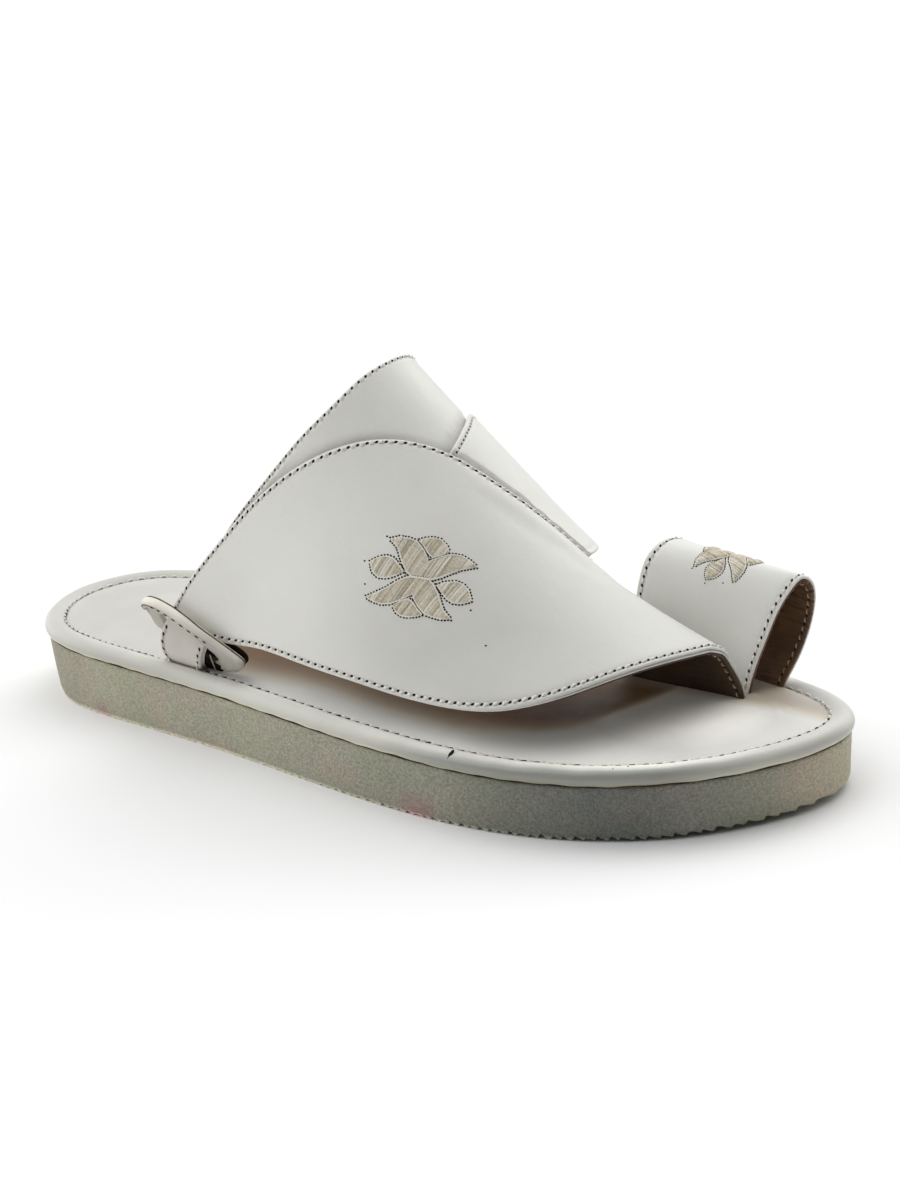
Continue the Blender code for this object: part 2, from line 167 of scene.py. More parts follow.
TREAD_PITCH = 3.1
TREAD_DEPTH = 1.15
SOLE_LEVELS = (0, 0.03, 0.07, 0.12, 0.2, 0.3, 0.42, 0.55, 0.68, 0.8, 0.9, 0.97, 1)
ROSE_SPOTS = (((39, -51.5, 0.2), 9), ((-97, -33.5, 1.8), 6.5))  # place, size
RIM_ARC = (  # in from the outline, height above the foam
    (0.9, 0.3),
    (0, 0.8),
    (-0.5, 2.1),
    (0, 3.7),
    (1.5, 4.95),
    (3.3, 5.25),
    (5, 4.75),
    (6.2, 4.05),
    (6.6, 3.7),
)
RIM_UNDER = ((6.6, 2), (6.5, 0.35), (4.5, 0.3), (2.5, 0.3))
GLUE_AT = (0.78, 0.12)  # in from the outline, over the foam
GLUE_HALF = (0.30, 0.17)
VALLEY = 6.7  # where the rim ends and the insole begins, in from the outline
FOOTBED = (  # in from the outline, height above the foam
    (6.7, 3.6),
    (7.3, 3.95),
    (8.2, 4.3),
    (9.6, 4.65),
    (11.5, 4.95),
    (14, 5.2),
    (17, 5.4),
)
NEAR_EDGE = (0.65, 1.1, 1.5, 1.9, 2.3, 2.8, 3.5, 4.6, 6.2)  # grid lines in from an edge
VAMP_LAYERS = (0.85, 0.98, 1.36, 1.46)  # below the face: leather, backing's two faces, lining
CROSS_LAYERS = (1, 1.06, 1.9)  # below the face: leather, lining's two faces
LOOP_LAYERS = (0.95, 1.05)  # below the face: leather, lining
INSTEP_LEAST = 0.5
LINING_INSET = 1.5
STITCH_PITCH = 2.9
RIM_STITCH = {"radius": 0.34, "slant": 0.1, "gap": 1.5, "lift": 0.34, "ragged": 0.12, "skew": 0.2}
CROSS_STITCH = {"pitch": 2, "radius": 0.24, "gap": 1.1, "lift": 0.14, "hole": (0.40, 0.34)}
STRAP_STITCH = {"pitch": 2.8, "radius": 0.26, "hole": (0.72, 0.42)}
LOOP_STITCH = {"pitch": 2.8, "hole": (0.60, 0.36)}
KEEPER_STITCH = {"pitch": 3.3, "radius": 0.16, "slant": 0, "gap": 2.4, "lift": 0.02,
                 "hole": (0.75, 0.26), "skew": 0}
VAMP_SEAMS = (1.35, 1.95)  # in from the upper and the lower edge
INSTEP_SEAM = 1.1
CROSS_SEAM = 1.9
RIM_SEAMS = (  # start and end round the rim, pitch, hole's half length and half width
    (0, 0.03, 3.2, (0.45, 0.30)),
    (0.03, 0.16, 3.1, (0.90, 0.62)),
    (0.16, 0.40, 3.9, (1.20, 0.60)),
    (0.40, 0.49, 3.6, (0.85, 0.45)),
    (0.49, 0.52, 3.6, (0.45, 0.25)),
    (0.52, 1, 4, (0.13, 0.08)),
)
RIM_MARKS = ((51.6, -54), (100.6, -38), (99.3, -44.4))  # a nick, then specks
NICK_OUT = (0.08, -0.62, 0.78)
NICK_RUN = (0.25, 0.78, 0.62)
NICK_HALF = (1.7, 0.60, 0.14)  # half length, width and height
SPECK_RUN = (0.5, 1, 0)
SPECK_HALF = (0.32, 0.26, 0.08)
PETALS = (  # outline of the paired petals, from the first one's tip: along, up
    (-12, 9.8), (-9, 10.7), (-6, 10.6), (-3.8, 10.2), (-1.4, 8.4), (0.4, 6.3), (1, 5),
    (2.8, 6.4), (5, 8), (7.2, 9.3), (10.1, 9.8), (12.8, 9.3), (15.2, 8.2),
    (13.3, 7.1), (10.7, 5.5), (8.2, 3.5), (5.8, 1.5), (3.6, 0.3), (1.2, 0), (-1.8, -0.2),
    (-3.2, 0), (-4.7, 1.2), (-6.5, 3.3), (-8.2, 6.3), (-9.3, 7.8),
)
BUD = (
    (-3.3, 10.6), (-1.7, 11.5), (0.5, 12.3), (2.9, 12.4), (4.7, 11.5), (6.2, 9.7), (4, 7.8),
    (2.1, 6.7), (0.2, 7.6), (-1.4, 9.2),
)
LEAF = (
    (-16.4, 2.7), (-15.3, 3.5), (-13.6, 4.4), (-11.2, 4.8), (-9.2, 4.2), (-7.6, 2.9),
    (-5.3, 1), (-7.6, -0.6), (-10.5, -1.7), (-12.7, -1.6), (-14.7, -0.3),
)
KEEPER_RING = (  # outer edge: along, up; slot's edge: along, up; width of the roll
    (22, 1.5, 8.7, -4.4, 13.6),
    (20, 4.4, 8, -2.4, 13),
    (12.5, 6.4, 5.6, -1.4, 9.2),
    (4, 8, 2.2, 1.2, 6.4),
    (-5, 9.1, -3.6, 4.4, 4),
    (-13, 8.8, -9.8, 4.3, 3.6),
    (-19, 6, -12.6, 3, 3.4),
    (-21.5, 1.6, -13.4, 0.6, 2.4),
    (-19.7, -4.6, -12.2, -3.2, 0.4),
    (-17, -9.4, -8.4, -5.6, 0.3),
    (-2, -9.2, -2, -7.4, 0.3),
    (4.5, -9.6, 4.5, -8.2, 0.3),
    (10.5, -9.2, 8.4, -8, 1.2),
    (17.6, -5.9, 8.9, -6.4, 8.4),
)
STRAP_LEG = (  # the strap's inner layer, which goes down inside, made near black as painted shadow of the hollow behind the keeper: rear edge, front edge
    (-56, -34.4, 36, -40.5, -35.2, 34.6),
    (-56, -33.6, 32, -36.4, -33.9, 31.4),
    (-55.5, -32.8, 28.5, -37.6, -33.4, 28),
    (-55, -32.4, 25.4, -45.6, -33.2, 25.2),
    (-55, -32.2, 22.6, -46.8, -33, 22.6),
)
STRAP_STRIP = (  # the pale edge in front of it
    (-50.4, -34.6, 29, -50.1, -34.6, 29),
    (-50, -34.3, 26.8, -49.7, -34.3, 26.8),
    (-49.2, -34, 24, -48.9, -34, 24),
)
KEEPER_ROLL = 2
KEEPER_FLAT = 0.95
ROLL_SHARES = (0, 0.03, 0.09, 0.16, 0.22, 0.28, 0.32, 0.36, 0.41, 0.5, 0.6, 0.72, 0.84,
               0.93, 1)
LIP_SHARES = (0.12, 0.3, 0.55, 0.78, 0.92, 0.98, 1)
KEEPER_LINES = (  # part, first and last knot of the ring, half thickness
    ("edge", -0.6, 6.4, 0.2),
    ("low_edge", 6.9, 8.9, 0.15),
    ("crease", 5, 6.8, 0.12),
)
KEEPER_SEAM = (2.4, 5.3)  # its first and last knot
NEEDLE_MARKS = ((-18.1, 2.9), (-16.3, -4.2), (-13.1, 10.4), (16.9, -5.6), (24, -16))
FLOWER_SLANT = math.radians(68)
FLOWER_PITCH = 0.36
FLOWER_TONES = (0.50, 0.26, 0.24)  # shares of middle, dark and light threads
FLOWER_RADIUS = 0.205
CORD_RADIUS = 0.19
CORD_LIFT = 0.14
NEEDLE_PITCH = 0.93
NEEDLE_ASIDE = 0.40
NEEDLE_HALF = (0.36, 0.30)
VAMP_FLOWER = (0.371, 0.492)  # u, v of its centre
LOOP_FLOWER = (0.7, -1)  # its centre round the loop from the crest, and toward the toe
LOOP_FLOWER_SIZE = 0.73
LOOP_FLOWER_TURN = math.radians(96)


# ---------------------------------------------------------------- numbers


def spline(knots, rows, closed=False):
    """Cubic spline through the rows at these knots, as a function of the knot value."""
    knots = np.array(knots, float)
    rows = np.array(rows, float)
    step = np.diff(knots)
    slope = np.diff(rows, axis=0) / step[:, None]
    count = len(knots)
    system = np.zeros((count, count))
    target = np.zeros(rows.shape)
    for i in range(1, count - 1):
        system[i, i - 1:i + 2] = (step[i - 1], 2 * (step[i - 1] + step[i]), step[i])
        target[i] = 6 * (slope[i] - slope[i - 1])
    system[0, 0] = 1
    system[-1, -1] = 1
    if closed:
        system[0, -1] = -1
        system[-1, [0, 1, -2]] = (2 * step[0], step[0], step[-1])
        system[-1, -1] = 2 * step[-1]
        target[-1] = 6 * (slope[0] - slope[-1])
    bend = np.linalg.solve(system, target)

    def value(at):
        at = np.asarray(at, float)
        i = np.clip(np.searchsorted(knots, at, side="right") - 1, 0, count - 2)
        width = step[i][..., None]
        after = (at - knots[i])[..., None]
        before = width - after
        curve = (bend[i] * before**3 + bend[i + 1] * after**3) / (6 * width)
        start = (rows[i] / width - bend[i] * width / 6) * before
        end = (rows[i + 1] / width - bend[i + 1] * width / 6) * after
        return curve + start + end

    return value


def unit(vectors):
    return vectors / np.linalg.norm(vectors, axis=-1)[..., None]


def smooth_step(value, low, high):
    share = np.clip((value - low) / (high - low), 0, 1)
    return share * share * (3 - 2 * share)


def hump(value, middle, width):
    return np.exp(-((value - middle) / width) ** 2)


def reach_along(points):
    """Distance along a line of points to each of them."""
    return np.concatenate([[0], np.cumsum(np.linalg.norm(np.diff(points, axis=0), axis=1))])


def rows_at(at, reach, rows):
    """The values between rows that stand at these distances."""
    return np.stack([np.interp(at, reach, column) for column in rows.T], axis=1)


def circle(count):
    turn = np.arange(count) * 2 * math.pi / count
    return np.cos(turn), np.sin(turn)


# ---------------------------------------------------------------- forms of the sandal


def foam_height(x):
    share = (x + SOLE_LENGTH / 2) / SOLE_LENGTH
    return FOAM_AT_HEEL + (FOAM_AT_TOE - FOAM_AT_HEEL) * share


def floor_rise(x):
    share = np.clip((x - SPRING_FROM_X) / (SOLE_LENGTH / 2 - SPRING_FROM_X), 0, 1)
    return TOE_SPRING * share**2


def foam_top(x):
    return floor_rise(x) + foam_height(x)


def outline_points(stations):
    """The outline and its outward directions, in pairs across the sole: point i on the
    outer side faces point -i on the inner side."""
    rows = np.array(SOLE_OUTLINE + SOLE_OUTLINE[:1])
    knots = reach_along(rows)
    curve = spline(knots, rows, closed=True)
    toe = knots[[row[0] for row in SOLE_OUTLINE].index(SOLE_LENGTH / 2)]
    way_out = np.linspace(0, toe, stations + 1)[:-1]
    way_back = np.linspace(toe, knots[-1], stations + 1)[:-1]
    at = np.concatenate([way_out, way_back])
    nudge = 0.5
    along = curve((at + nudge) % knots[-1]) - curve((at - nudge) % knots[-1])
    return curve(at), unit(np.stack([along[:, 1], -along[:, 0]], axis=1))


def set_in(outline, inset, up):
    """The outline moved in by inset, at a height over the foam's top."""
    points, outward = outline
    inside = points - outward * inset
    return np.column_stack([inside, foam_top(inside[:, 0]) + up])


LAST_AT = spline([row[0] for row in LAST_SECTIONS], [row[1:] for row in LAST_SECTIONS])


def last_point(x, step, toe_box=False):
    x, step = np.broadcast_arrays(np.asarray(x, float), np.asarray(step, float))
    crest_y, crest_z, outer_y, inner_y, toe_inner_y = np.moveaxis(LAST_AT(x), -1, 0)
    inside = step > 0
    side_y = np.where(inside, toe_inner_y if toe_box else inner_y, outer_y)
    inner_round = TOE_INNER_ROUND if toe_box else INNER_ROUND
    power = np.where(inside, 2 / inner_round, 2 / OUTER_ROUND)
    angle = (1 - np.minimum(np.abs(step), 1)) * math.pi / 2
    y = crest_y + (side_y - crest_y) * np.cos(angle) ** power
    z = LAST_BASE + (crest_z - LAST_BASE) * np.sin(angle) ** power
    below = np.maximum(np.abs(step) - 1, 0) * DROP_PER_STEP
    return np.stack([x, y, z - below], axis=-1)


def last_offset(x, step, depth, toe_box=False):
    """Points this far out over the last, along its own normal."""
    inside = np.clip(step, -0.98, 0.98)
    along = last_point(x + 0.5, inside, toe_box) - last_point(x - 0.5, inside, toe_box)
    round_ = last_point(x, inside + 0.01, toe_box) - last_point(x, inside - 0.01, toe_box)
    normal = unit(np.cross(round_, along))
    return last_point(x, step, toe_box) - normal * np.asarray(depth, float)[..., None]


class Panel:
    """A sheet over the last. u runs along its table, v from its first edge to its second."""

    def __init__(self, table, toe_box=False):
        self.rows = len(table) - 1
        self.edges = spline(range(len(table)), table)
        self.toe_box = toe_box

    def point(self, u, v, depth=0):
        u, v, depth = np.broadcast_arrays(u, v, depth)
        row = self.edges(u * self.rows)
        x = row[..., 0] + (row[..., 2] - row[..., 0]) * v
        step = row[..., 1] + (row[..., 3] - row[..., 1]) * v
        return last_offset(x, step, depth, self.toe_box)


class Ruled:
    """A sheet ruled between its table's two edges, with the same u and v. side is 1 where
    the cross product of u and v points out of the sandal and -1 where it points in."""

    def __init__(self, table, side=1):
        self.rows = len(table) - 1
        self.edges = spline(range(len(table)), table)
        self.side = side

    def middle(self, u, v):
        row = self.edges(u * self.rows)
        return row[..., :3] + (row[..., 3:] - row[..., :3]) * np.asarray(v)[..., None]

    def point(self, u, v, depth=0):
        u, v, depth = np.broadcast_arrays(np.asarray(u, float), v, depth)
        nudge = 0.002
        run = self.middle(u + nudge, v) - self.middle(u - nudge, v)
        row = self.edges(u * self.rows)
        normal = unit(np.cross(run, row[..., 3:] - row[..., :3])) * self.side
        return self.middle(u, v) + normal * depth[..., None]


def normals_of(sheet, u, v, depth=0):
    return unit(sheet.point(u, v, depth + 1) - sheet.point(u, v, depth))


def width_of(sheet, u, depth):
    """Length of each row of a sheet, across it."""
    v = np.linspace(0, 1, 25)
    line = sheet.point(u[:, None], v[None, :], depth)
    return np.linalg.norm(np.diff(line, axis=1), axis=2).sum(axis=1)


def lines_across(width, near, between):
    """v of grid lines at these distances from both edges, and of lines between them."""
    near = np.broadcast_to(np.array(near), (len(width), len(near)))
    width = width[:, None]
    share = np.linspace(0, 1, between + 2)[None, 1:-1]
    middle = near[:, -1:] + (width - 2 * near[:, -1:]) * share
    return np.concatenate([near, middle, width - near[:, ::-1]], axis=1) / width


def edge_curve(sheet, v, depth, count=500):
    return sheet.point(np.linspace(0, 1, count), v, depth)


def distances(points, curve):
    """Distance of each point to the nearest of a curve's points."""
    tree = kdtree.KDTree(len(curve))
    for i, place in enumerate(curve):
        tree.insert(place, i)
    tree.balance()
    flat = points.reshape(-1, 3)
    return np.array([tree.find(p)[2] for p in flat]).reshape(points.shape[:-1])


def line_beside(sheet, edge_v, inset, depth, start=0, end=1, count=400):
    """Points and normals of the line this far in from one of a sheet's edges."""
    u = np.linspace(start, end, count)
    curve = edge_curve(sheet, edge_v, depth)
    width = width_of(sheet, u, depth)
    away = np.linspace(0.2, 2.5, 24)[None, :] * inset / width[:, None]
    v = away if edge_v == 0 else 1 - away
    points = sheet.point(u[:, None], v, depth)
    reach = np.linalg.norm(points[:, :, None] - curve[None, None, ::2], axis=3).min(axis=2)
    chosen = np.array([np.interp(inset, reach[i], v[i]) for i in range(count)])
    return sheet.point(u, chosen, depth), normals_of(sheet, u, chosen, depth)


# ---------------------------------------------------------------- meshes


def new_piece(name, verts, faces, mats, marks=None, sharp=50):
    """A closed mesh object from points in millimetres, with its faces turned outward."""
    mesh = bpy.data.meshes.new(name)
    points = (np.asarray(verts, float) - MIDDLE) * MM
    mesh.from_pydata(points.tolist(), [], [list(map(int, face)) for face in faces])
    for mat in mats:
        mesh.materials.append(mat)
    if marks is not None:
        mesh.polygons.foreach_set("material_index", np.asarray(marks, np.int32))
    bm = bmesh.new()
    bm.from_mesh(mesh)
    bmesh.ops.recalc_face_normals(bm, faces=bm.faces)
    bm.to_mesh(mesh)
    bm.free()
    mesh.shade_smooth()
    mesh.set_sharp_from_angle(angle=math.radians(sharp))
    obj = bpy.data.objects.new(name, mesh)
    bpy.context.scene.collection.objects.link(obj)
    return obj


def belongs(obj, slot, *nodes):
    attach(obj, "root")
    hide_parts(*nodes)


def add_piece(name, shape, mat, node, slot="leather_white", sharp=50):
    """Makes one closed shape, a pair of points and faces, into a piece of a CAD node."""
    belongs(new_piece(name, *shape, [mat], sharp=sharp), slot, node)


def add_leaf(name, sheet, u, v, high, low, mat, node="upper"):
    """Makes the closed sheet between two depths over a form into a piece."""
    add_piece(name, leaf(sheet.point(u, v, high), sheet.point(u, v, low)), mat, node)


def quads_of(table):
    """Quads between the rows and columns of a table of point numbers."""
    corners = [table[:-1, :-1], table[:-1, 1:], table[1:, 1:], table[1:, :-1]]
    return np.stack(corners, axis=-1).reshape(-1, 4)


def grid_quads(rows, cols, first=0):
    return quads_of(first + np.arange(rows * cols).reshape(rows, cols))


def loop_quads(first, second):
    """Quads between two closed loops of point numbers."""
    return np.stack([first, np.roll(first, -1), np.roll(second, -1), second], axis=-1)


def border_loop(rows, cols):
    number = np.arange(rows * cols).reshape(rows, cols)
    return np.concatenate([
        number[0, :-1], number[:-1, -1], number[-1, :0:-1], number[:0:-1, 0],
    ])


def leaf(outer, inner, rings=3, bulge=0.9):
    """A closed sheet between two grids of points, with a rounded border."""
    rows, cols = outer.shape[:2]
    count = rows * cols
    loop = border_loop(rows, cols)
    high = outer.reshape(-1, 3)[loop]
    low = inner.reshape(-1, 3)[loop]
    middle = (high + low) / 2
    half = (high - low) / 2
    along = np.roll(middle, -1, axis=0) - np.roll(middle, 1, axis=0)
    out = unit(np.cross(along, half))
    if (out * (middle - middle.mean(axis=0))).sum() < 0:
        out = -out
    radius = np.linalg.norm(half, axis=1)[:, None]
    verts = [outer.reshape(-1, 3), inner.reshape(-1, 3)]
    faces = [grid_quads(rows, cols), grid_quads(rows, cols, count)[:, ::-1]]
    before = loop
    for r in range(rings):
        turn = math.pi * (r + 1) / (rings + 1)
        verts.append(middle + half * math.cos(turn) + out * radius * math.sin(turn) * bulge)
        now = 2 * count + r * len(loop) + np.arange(len(loop))
        faces.append(loop_quads(before, now))
        before = now
    faces.append(loop_quads(before, loop + count))
    return np.vstack(verts), np.vstack(faces)


def tube_rings(rings, closed=True):
    """Points and quads between rings of points, an array of (rings, around, 3)."""
    count, around = rings.shape[:2]
    number = np.arange(around)
    faces = [loop_quads(r * around + number, (r + 1) % count * around + number)
             for r in range(count if closed else count - 1)]
    return rings.reshape(-1, 3), np.vstack(faces)


def slab(rings, across, pad=None):
    """Stacked rings of outline points, closed below and above by rows across the sole. pad
    gives the upper cover's swell from x, y and the distance to the edge."""
    count = len(rings[0])
    number = np.arange(count)
    outer, inner = number[1:count // 2], count - number[1:count // 2]
    share = np.linspace(0, 1, across + 1)[1:-1]
    verts = [np.vstack(rings)]
    faces = [loop_quads(r * count + number, (r + 1) * count + number)
             for r in range(len(rings) - 1)]
    first = len(rings) * count
    for ring, offset in ((rings[0], 0), (rings[-1], first - count)):
        chord = ring[inner] - ring[outer]
        cover = ring[outer][:, None] + chord[:, None] * share[:, None]
        if pad and offset:
            edge = np.minimum(share, 1 - share) * np.linalg.norm(chord, axis=1)[:, None]
            cover[..., 2] += pad(cover[..., 0], cover[..., 1], edge)
        inside = first + np.arange(cover[..., 0].size).reshape(cover.shape[:2])
        table = np.column_stack([offset + outer, inside, offset + inner])
        faces.append(quads_of(table))
        verts.append(cover.reshape(-1, 3))
        first += inside.size
        for tip, row in ((offset, table[0]), (offset + count // 2, table[-1])):
            faces.append([(tip, row[k], row[k + 1]) for k in range(across)])
    return np.vstack(verts), [tuple(face) for block in faces for face in block]


def resampled(points, others, pitch):
    """Places along a curve at an even pitch near this one, with the directions there."""
    reach = reach_along(points)
    at = np.linspace(0, reach[-1], max(1, round(reach[-1] / pitch)) + 1)
    return rows_at(at, reach, points), unit(rows_at(at, reach, others))


def repeated(faces, size, count):
    """One part's faces for count parts of size points each."""
    return [tuple(k * size + i for i in face) for k in range(count) for face in faces]


def joined(shapes):
    """One shape from several, each a pair of points and faces."""
    verts, faces, first = [], [], 0
    for points, own in shapes:
        faces += [tuple(first + i for i in face) for face in own]
        verts.append(points)
        first += len(points)
    return np.vstack(verts), faces


def strands(centres, sides, ups, thick, tips, around):
    """Closed threads along rows of points, from the directions and radii of their rings
    and the points at their ends."""
    count, along = centres.shape[:2]
    cos, sin = circle(around)
    ring = sides[:, :, None] * cos[:, None] + ups[:, :, None] * sin[:, None]
    body = centres[:, :, None] + ring * thick[:, :, None, None]
    verts = np.concatenate([body.reshape(count, -1, 3), tips], axis=1)
    tip, last = along * around, (along - 1) * around
    after = [(j + 1) % around for j in range(around)]
    faces = [(k + j, k + after[j], k + around + after[j], k + around + j)
             for k in range(0, last, around) for j in range(around)]
    faces += [(tip, after[j], j) for j in range(around)]
    faces += [(tip + 1, last + j, last + after[j]) for j in range(around)]
    return verts.reshape(-1, 3), repeated(faces, tip + 2, count)


def stitches(starts, ends, normals, radius, lift, sink=0.3, flat=0.8, along=7):
    """Threads from starts to ends: each rises to lift over the surface and dips by sink at
    its ends."""
    share = np.linspace(0, 1, along)
    bow = 1 - np.abs(2 * share - 1) ** 3.5
    run = unit(ends - starts)
    side = unit(np.cross(normals, run))
    centres = starts[:, None] + (ends - starts)[:, None] * share[:, None]
    centres += normals[:, None] * (-sink + (lift + sink) * bow)[:, None]
    thick = radius * (0.45 + 0.55 * bow)[None]
    tips = np.stack([starts - run * radius * 0.4, ends + run * radius * 0.4], axis=1)
    tips -= normals[:, None] * sink
    return strands(centres, side[:, None], normals[:, None] * flat, thick, tips, around=6)


def lenses(places, normals, runs, long, short, height, around=8):
    """Small closed lenses that lie on a surface: pin-holes."""
    cos, sin = circle(around)
    side = unit(np.cross(normals, runs))
    ring = runs[:, None] * cos[:, None] * long + side[:, None] * sin[:, None] * short
    tips = np.stack([places + normals * height, places - normals * height], axis=1)
    verts = np.concatenate([places[:, None] + ring, tips], axis=1).reshape(-1, 3)
    faces = [(j, (j + 1) % around, around) for j in range(around)]
    faces += [((j + 1) % around, j, around + 1) for j in range(around)]
    return verts, repeated(faces, around + 2, len(places))


class Seam:
    """Collects stitches and their holes, to make one piece of each."""

    def __init__(self):
        self.threads = []
        self.holes = []

    def sew(self, points, normals, pitch=STITCH_PITCH, radius=0.40, slant=0.26, gap=1.2,
            lift=0.40, hole=(0.62, 0.40), ragged=0, skew=0.55):
        places, ups = resampled(points, normals, pitch)
        run = unit(np.gradient(places, axis=0))
        side = unit(np.cross(ups, run))
        if ragged:
            places = places + side * RANDOM.normal(0, ragged, len(places))[:, None]
        starts = places[:-1] + run[:-1] * gap / 2 - side[:-1] * slant
        ends = places[1:] - run[1:] * gap / 2 + side[1:] * slant
        self.threads.append(stitches(starts, ends, unit(ups[:-1] + ups[1:]), radius, lift))
        self.holes.append(lenses(places, ups, unit(run + side * skew), *hole, 0.1))

    def sew_edge(self, sheet, edge, inset, depth, span, face, **looks):
        """Sews beside one of a sheet's edges, on the leather's face."""
        self.sew(*settled(line_beside(sheet, edge, inset, depth, *span), face), **looks)

    def make(self, name, node, thread):
        add_piece(name + "_thread", joined(self.threads), thread, node)
        add_piece(name + "_holes", joined(self.holes), HOLE, node)


# ---------------------------------------------------------------- materials


class Nodes:
    """Short ways to add nodes to a tree."""

    def __init__(self, tree):
        self.tree = tree

    def feed(self, socket, value):
        """Links another socket to this one, or sets its value."""
        if isinstance(value, bpy.types.NodeSocket):
            self.tree.links.new(value, socket)
        elif socket.type == "RGBA":
            socket.default_value = (*value, 1)
        else:
            socket.default_value = value

    def add(self, kind, settings=None, **inputs):
        made = self.tree.nodes.new("ShaderNode" + kind)
        for key, value in (settings or {}).items():
            setattr(made, key, value)
        for key, value in inputs.items():
            self.feed(made.inputs[key.replace("_", " ")], value)
        return made

    def place(self, **mapping):
        """Object coordinates, through a mapping where one is given."""
        at = self.add("TexCoord").outputs["Object"]
        return self.add("Mapping", Vector=at, **mapping).outputs["Vector"] if mapping else at

    def axis(self, name, vector=None):
        return self.add("SeparateXYZ", Vector=vector or self.place()).outputs[name]

    def facing(self):
        return self.add("NewGeometry").outputs["Normal"]

    def maths(self, operation, *values):
        made = self.add("Math", {"operation": operation})
        for socket, value in zip(made.inputs, values):
            self.feed(socket, value)
        return made.outputs[0]

    def vectors(self, operation, *values):
        made = self.add("VectorMath", {"operation": operation})
        for socket, value in zip(made.inputs, values):
            self.feed(socket, value)
        return made.outputs["Value"]

    def noise(self, scale, detail=3, roughness=0.5, **mapping):
        return self.add("TexNoise", Vector=self.place(**mapping), Scale=scale, Detail=detail,
                        Roughness=roughness).outputs["Fac"]

    def ramp(self, value, *stops):
        """Colours at stops, each a position and a colour or a grey."""
        made = self.add("ValToRGB", Fac=value)
        band = made.color_ramp
        while len(band.elements) < len(stops):
            band.elements.new(0.5)
        for element, (at, color) in zip(band.elements, stops):
            element.position = at
            element.color = (*(color if isinstance(color, tuple) else (color,) * 3), 1)
        return made.outputs["Color"]

    def mixed(self, factor, first, second, blend="MIX"):
        made = self.add("Mix", {"data_type": "RGBA", "blend_type": blend})
        for number, value in ((0, factor), (6, first), (7, second)):
            self.feed(made.inputs[number], value)
        return made.outputs[2]

    def apart(self, centre, reach):
        """Distance from a place, as a share of the reach along each axis."""
        middle, reach = np.array(centre) - MIDDLE, np.array(reach)
        return self.vectors("LENGTH", self.place(Scale=tuple(1 / (reach * MM)),
                                                 Location=tuple(-middle / reach)))

    def along_sole(self):
        """0 at the heel's end and 1 at the toe's."""
        return self.maths("MULTIPLY_ADD", self.axis("X"), 1000 / SOLE_LENGTH, 0.5)


class Look(Nodes):
    """A material, with ways to build up its base colour and its bumps."""

    def __init__(self, name, roughness, **inputs):
        self.mat = bpy.data.materials.new(name)
        self.mat.use_nodes = True
        super().__init__(self.mat.node_tree)
        self.shader = self.tree.nodes["Principled BSDF"]
        for key, value in {"Roughness": roughness, **inputs}.items():
            self.feed(self.shader.inputs[key.replace("_", " ")], value)

    def base(self):
        return self.shader.inputs["Base Color"].links[0].from_socket

    def paint(self, color):
        self.feed(self.shader.inputs["Base Color"], color)

    def clouded(self, dark, light, scale, detail=3, low=0.35, high=0.65):
        """A base colour that drifts between two."""
        self.paint(self.ramp(self.noise(scale, detail), (low, dark), (high, light)))

    def tint(self, color, share=1):
        """Multiplies the base colour by another one."""
        self.paint(self.mixed(share, self.base(), color, "MULTIPLY"))

    def tint_along(self, *stops):
        """Multiplies it by colours at shares of the sole's length, from the heel."""
        self.tint(self.ramp(self.along_sole(), *stops))

    def tint_round(self, centre, reach, *stops):
        """Multiplies it by colours at distances round a place, as shares of the reach."""
        self.tint(self.ramp(self.apart(centre, reach), *stops))

    def bump(self, height, strength, distance):
        """Adds a bump over those before it."""
        made = self.add("Bump", Height=height, Strength=strength, Distance=distance)
        socket = self.shader.inputs["Normal"]
        if socket.is_linked:
            self.feed(made.inputs["Normal"], socket.links[0].from_socket)
        self.feed(socket, made.outputs["Normal"])


def leather(name, light, dark, roughness=0.42, grain=0.12):
    """Smooth finished leather: faint cloudy tone, fine grain and a soft gloss."""
    look = Look(name, roughness, Specular_IOR_Level=0.42)
    look.clouded(dark, light, 38, 4, 0.36, 0.62)
    look.tint(look.ramp(look.noise(900, 2), (0.26, 0.95), (0.40, 1)), 0.6)
    gloss = look.ramp(look.noise(150), (0.3, roughness - 0.05), (0.7, roughness + 0.08))
    look.feed(look.shader.inputs["Roughness"], gloss)
    look.bump(look.noise(260), 0.18, 0.0006)
    cells = look.add("TexVoronoi", {"feature": "F1"}, Vector=look.place(), Scale=2600)
    look.bump(cells.outputs["Distance"], grain, 0.0002)
    return look


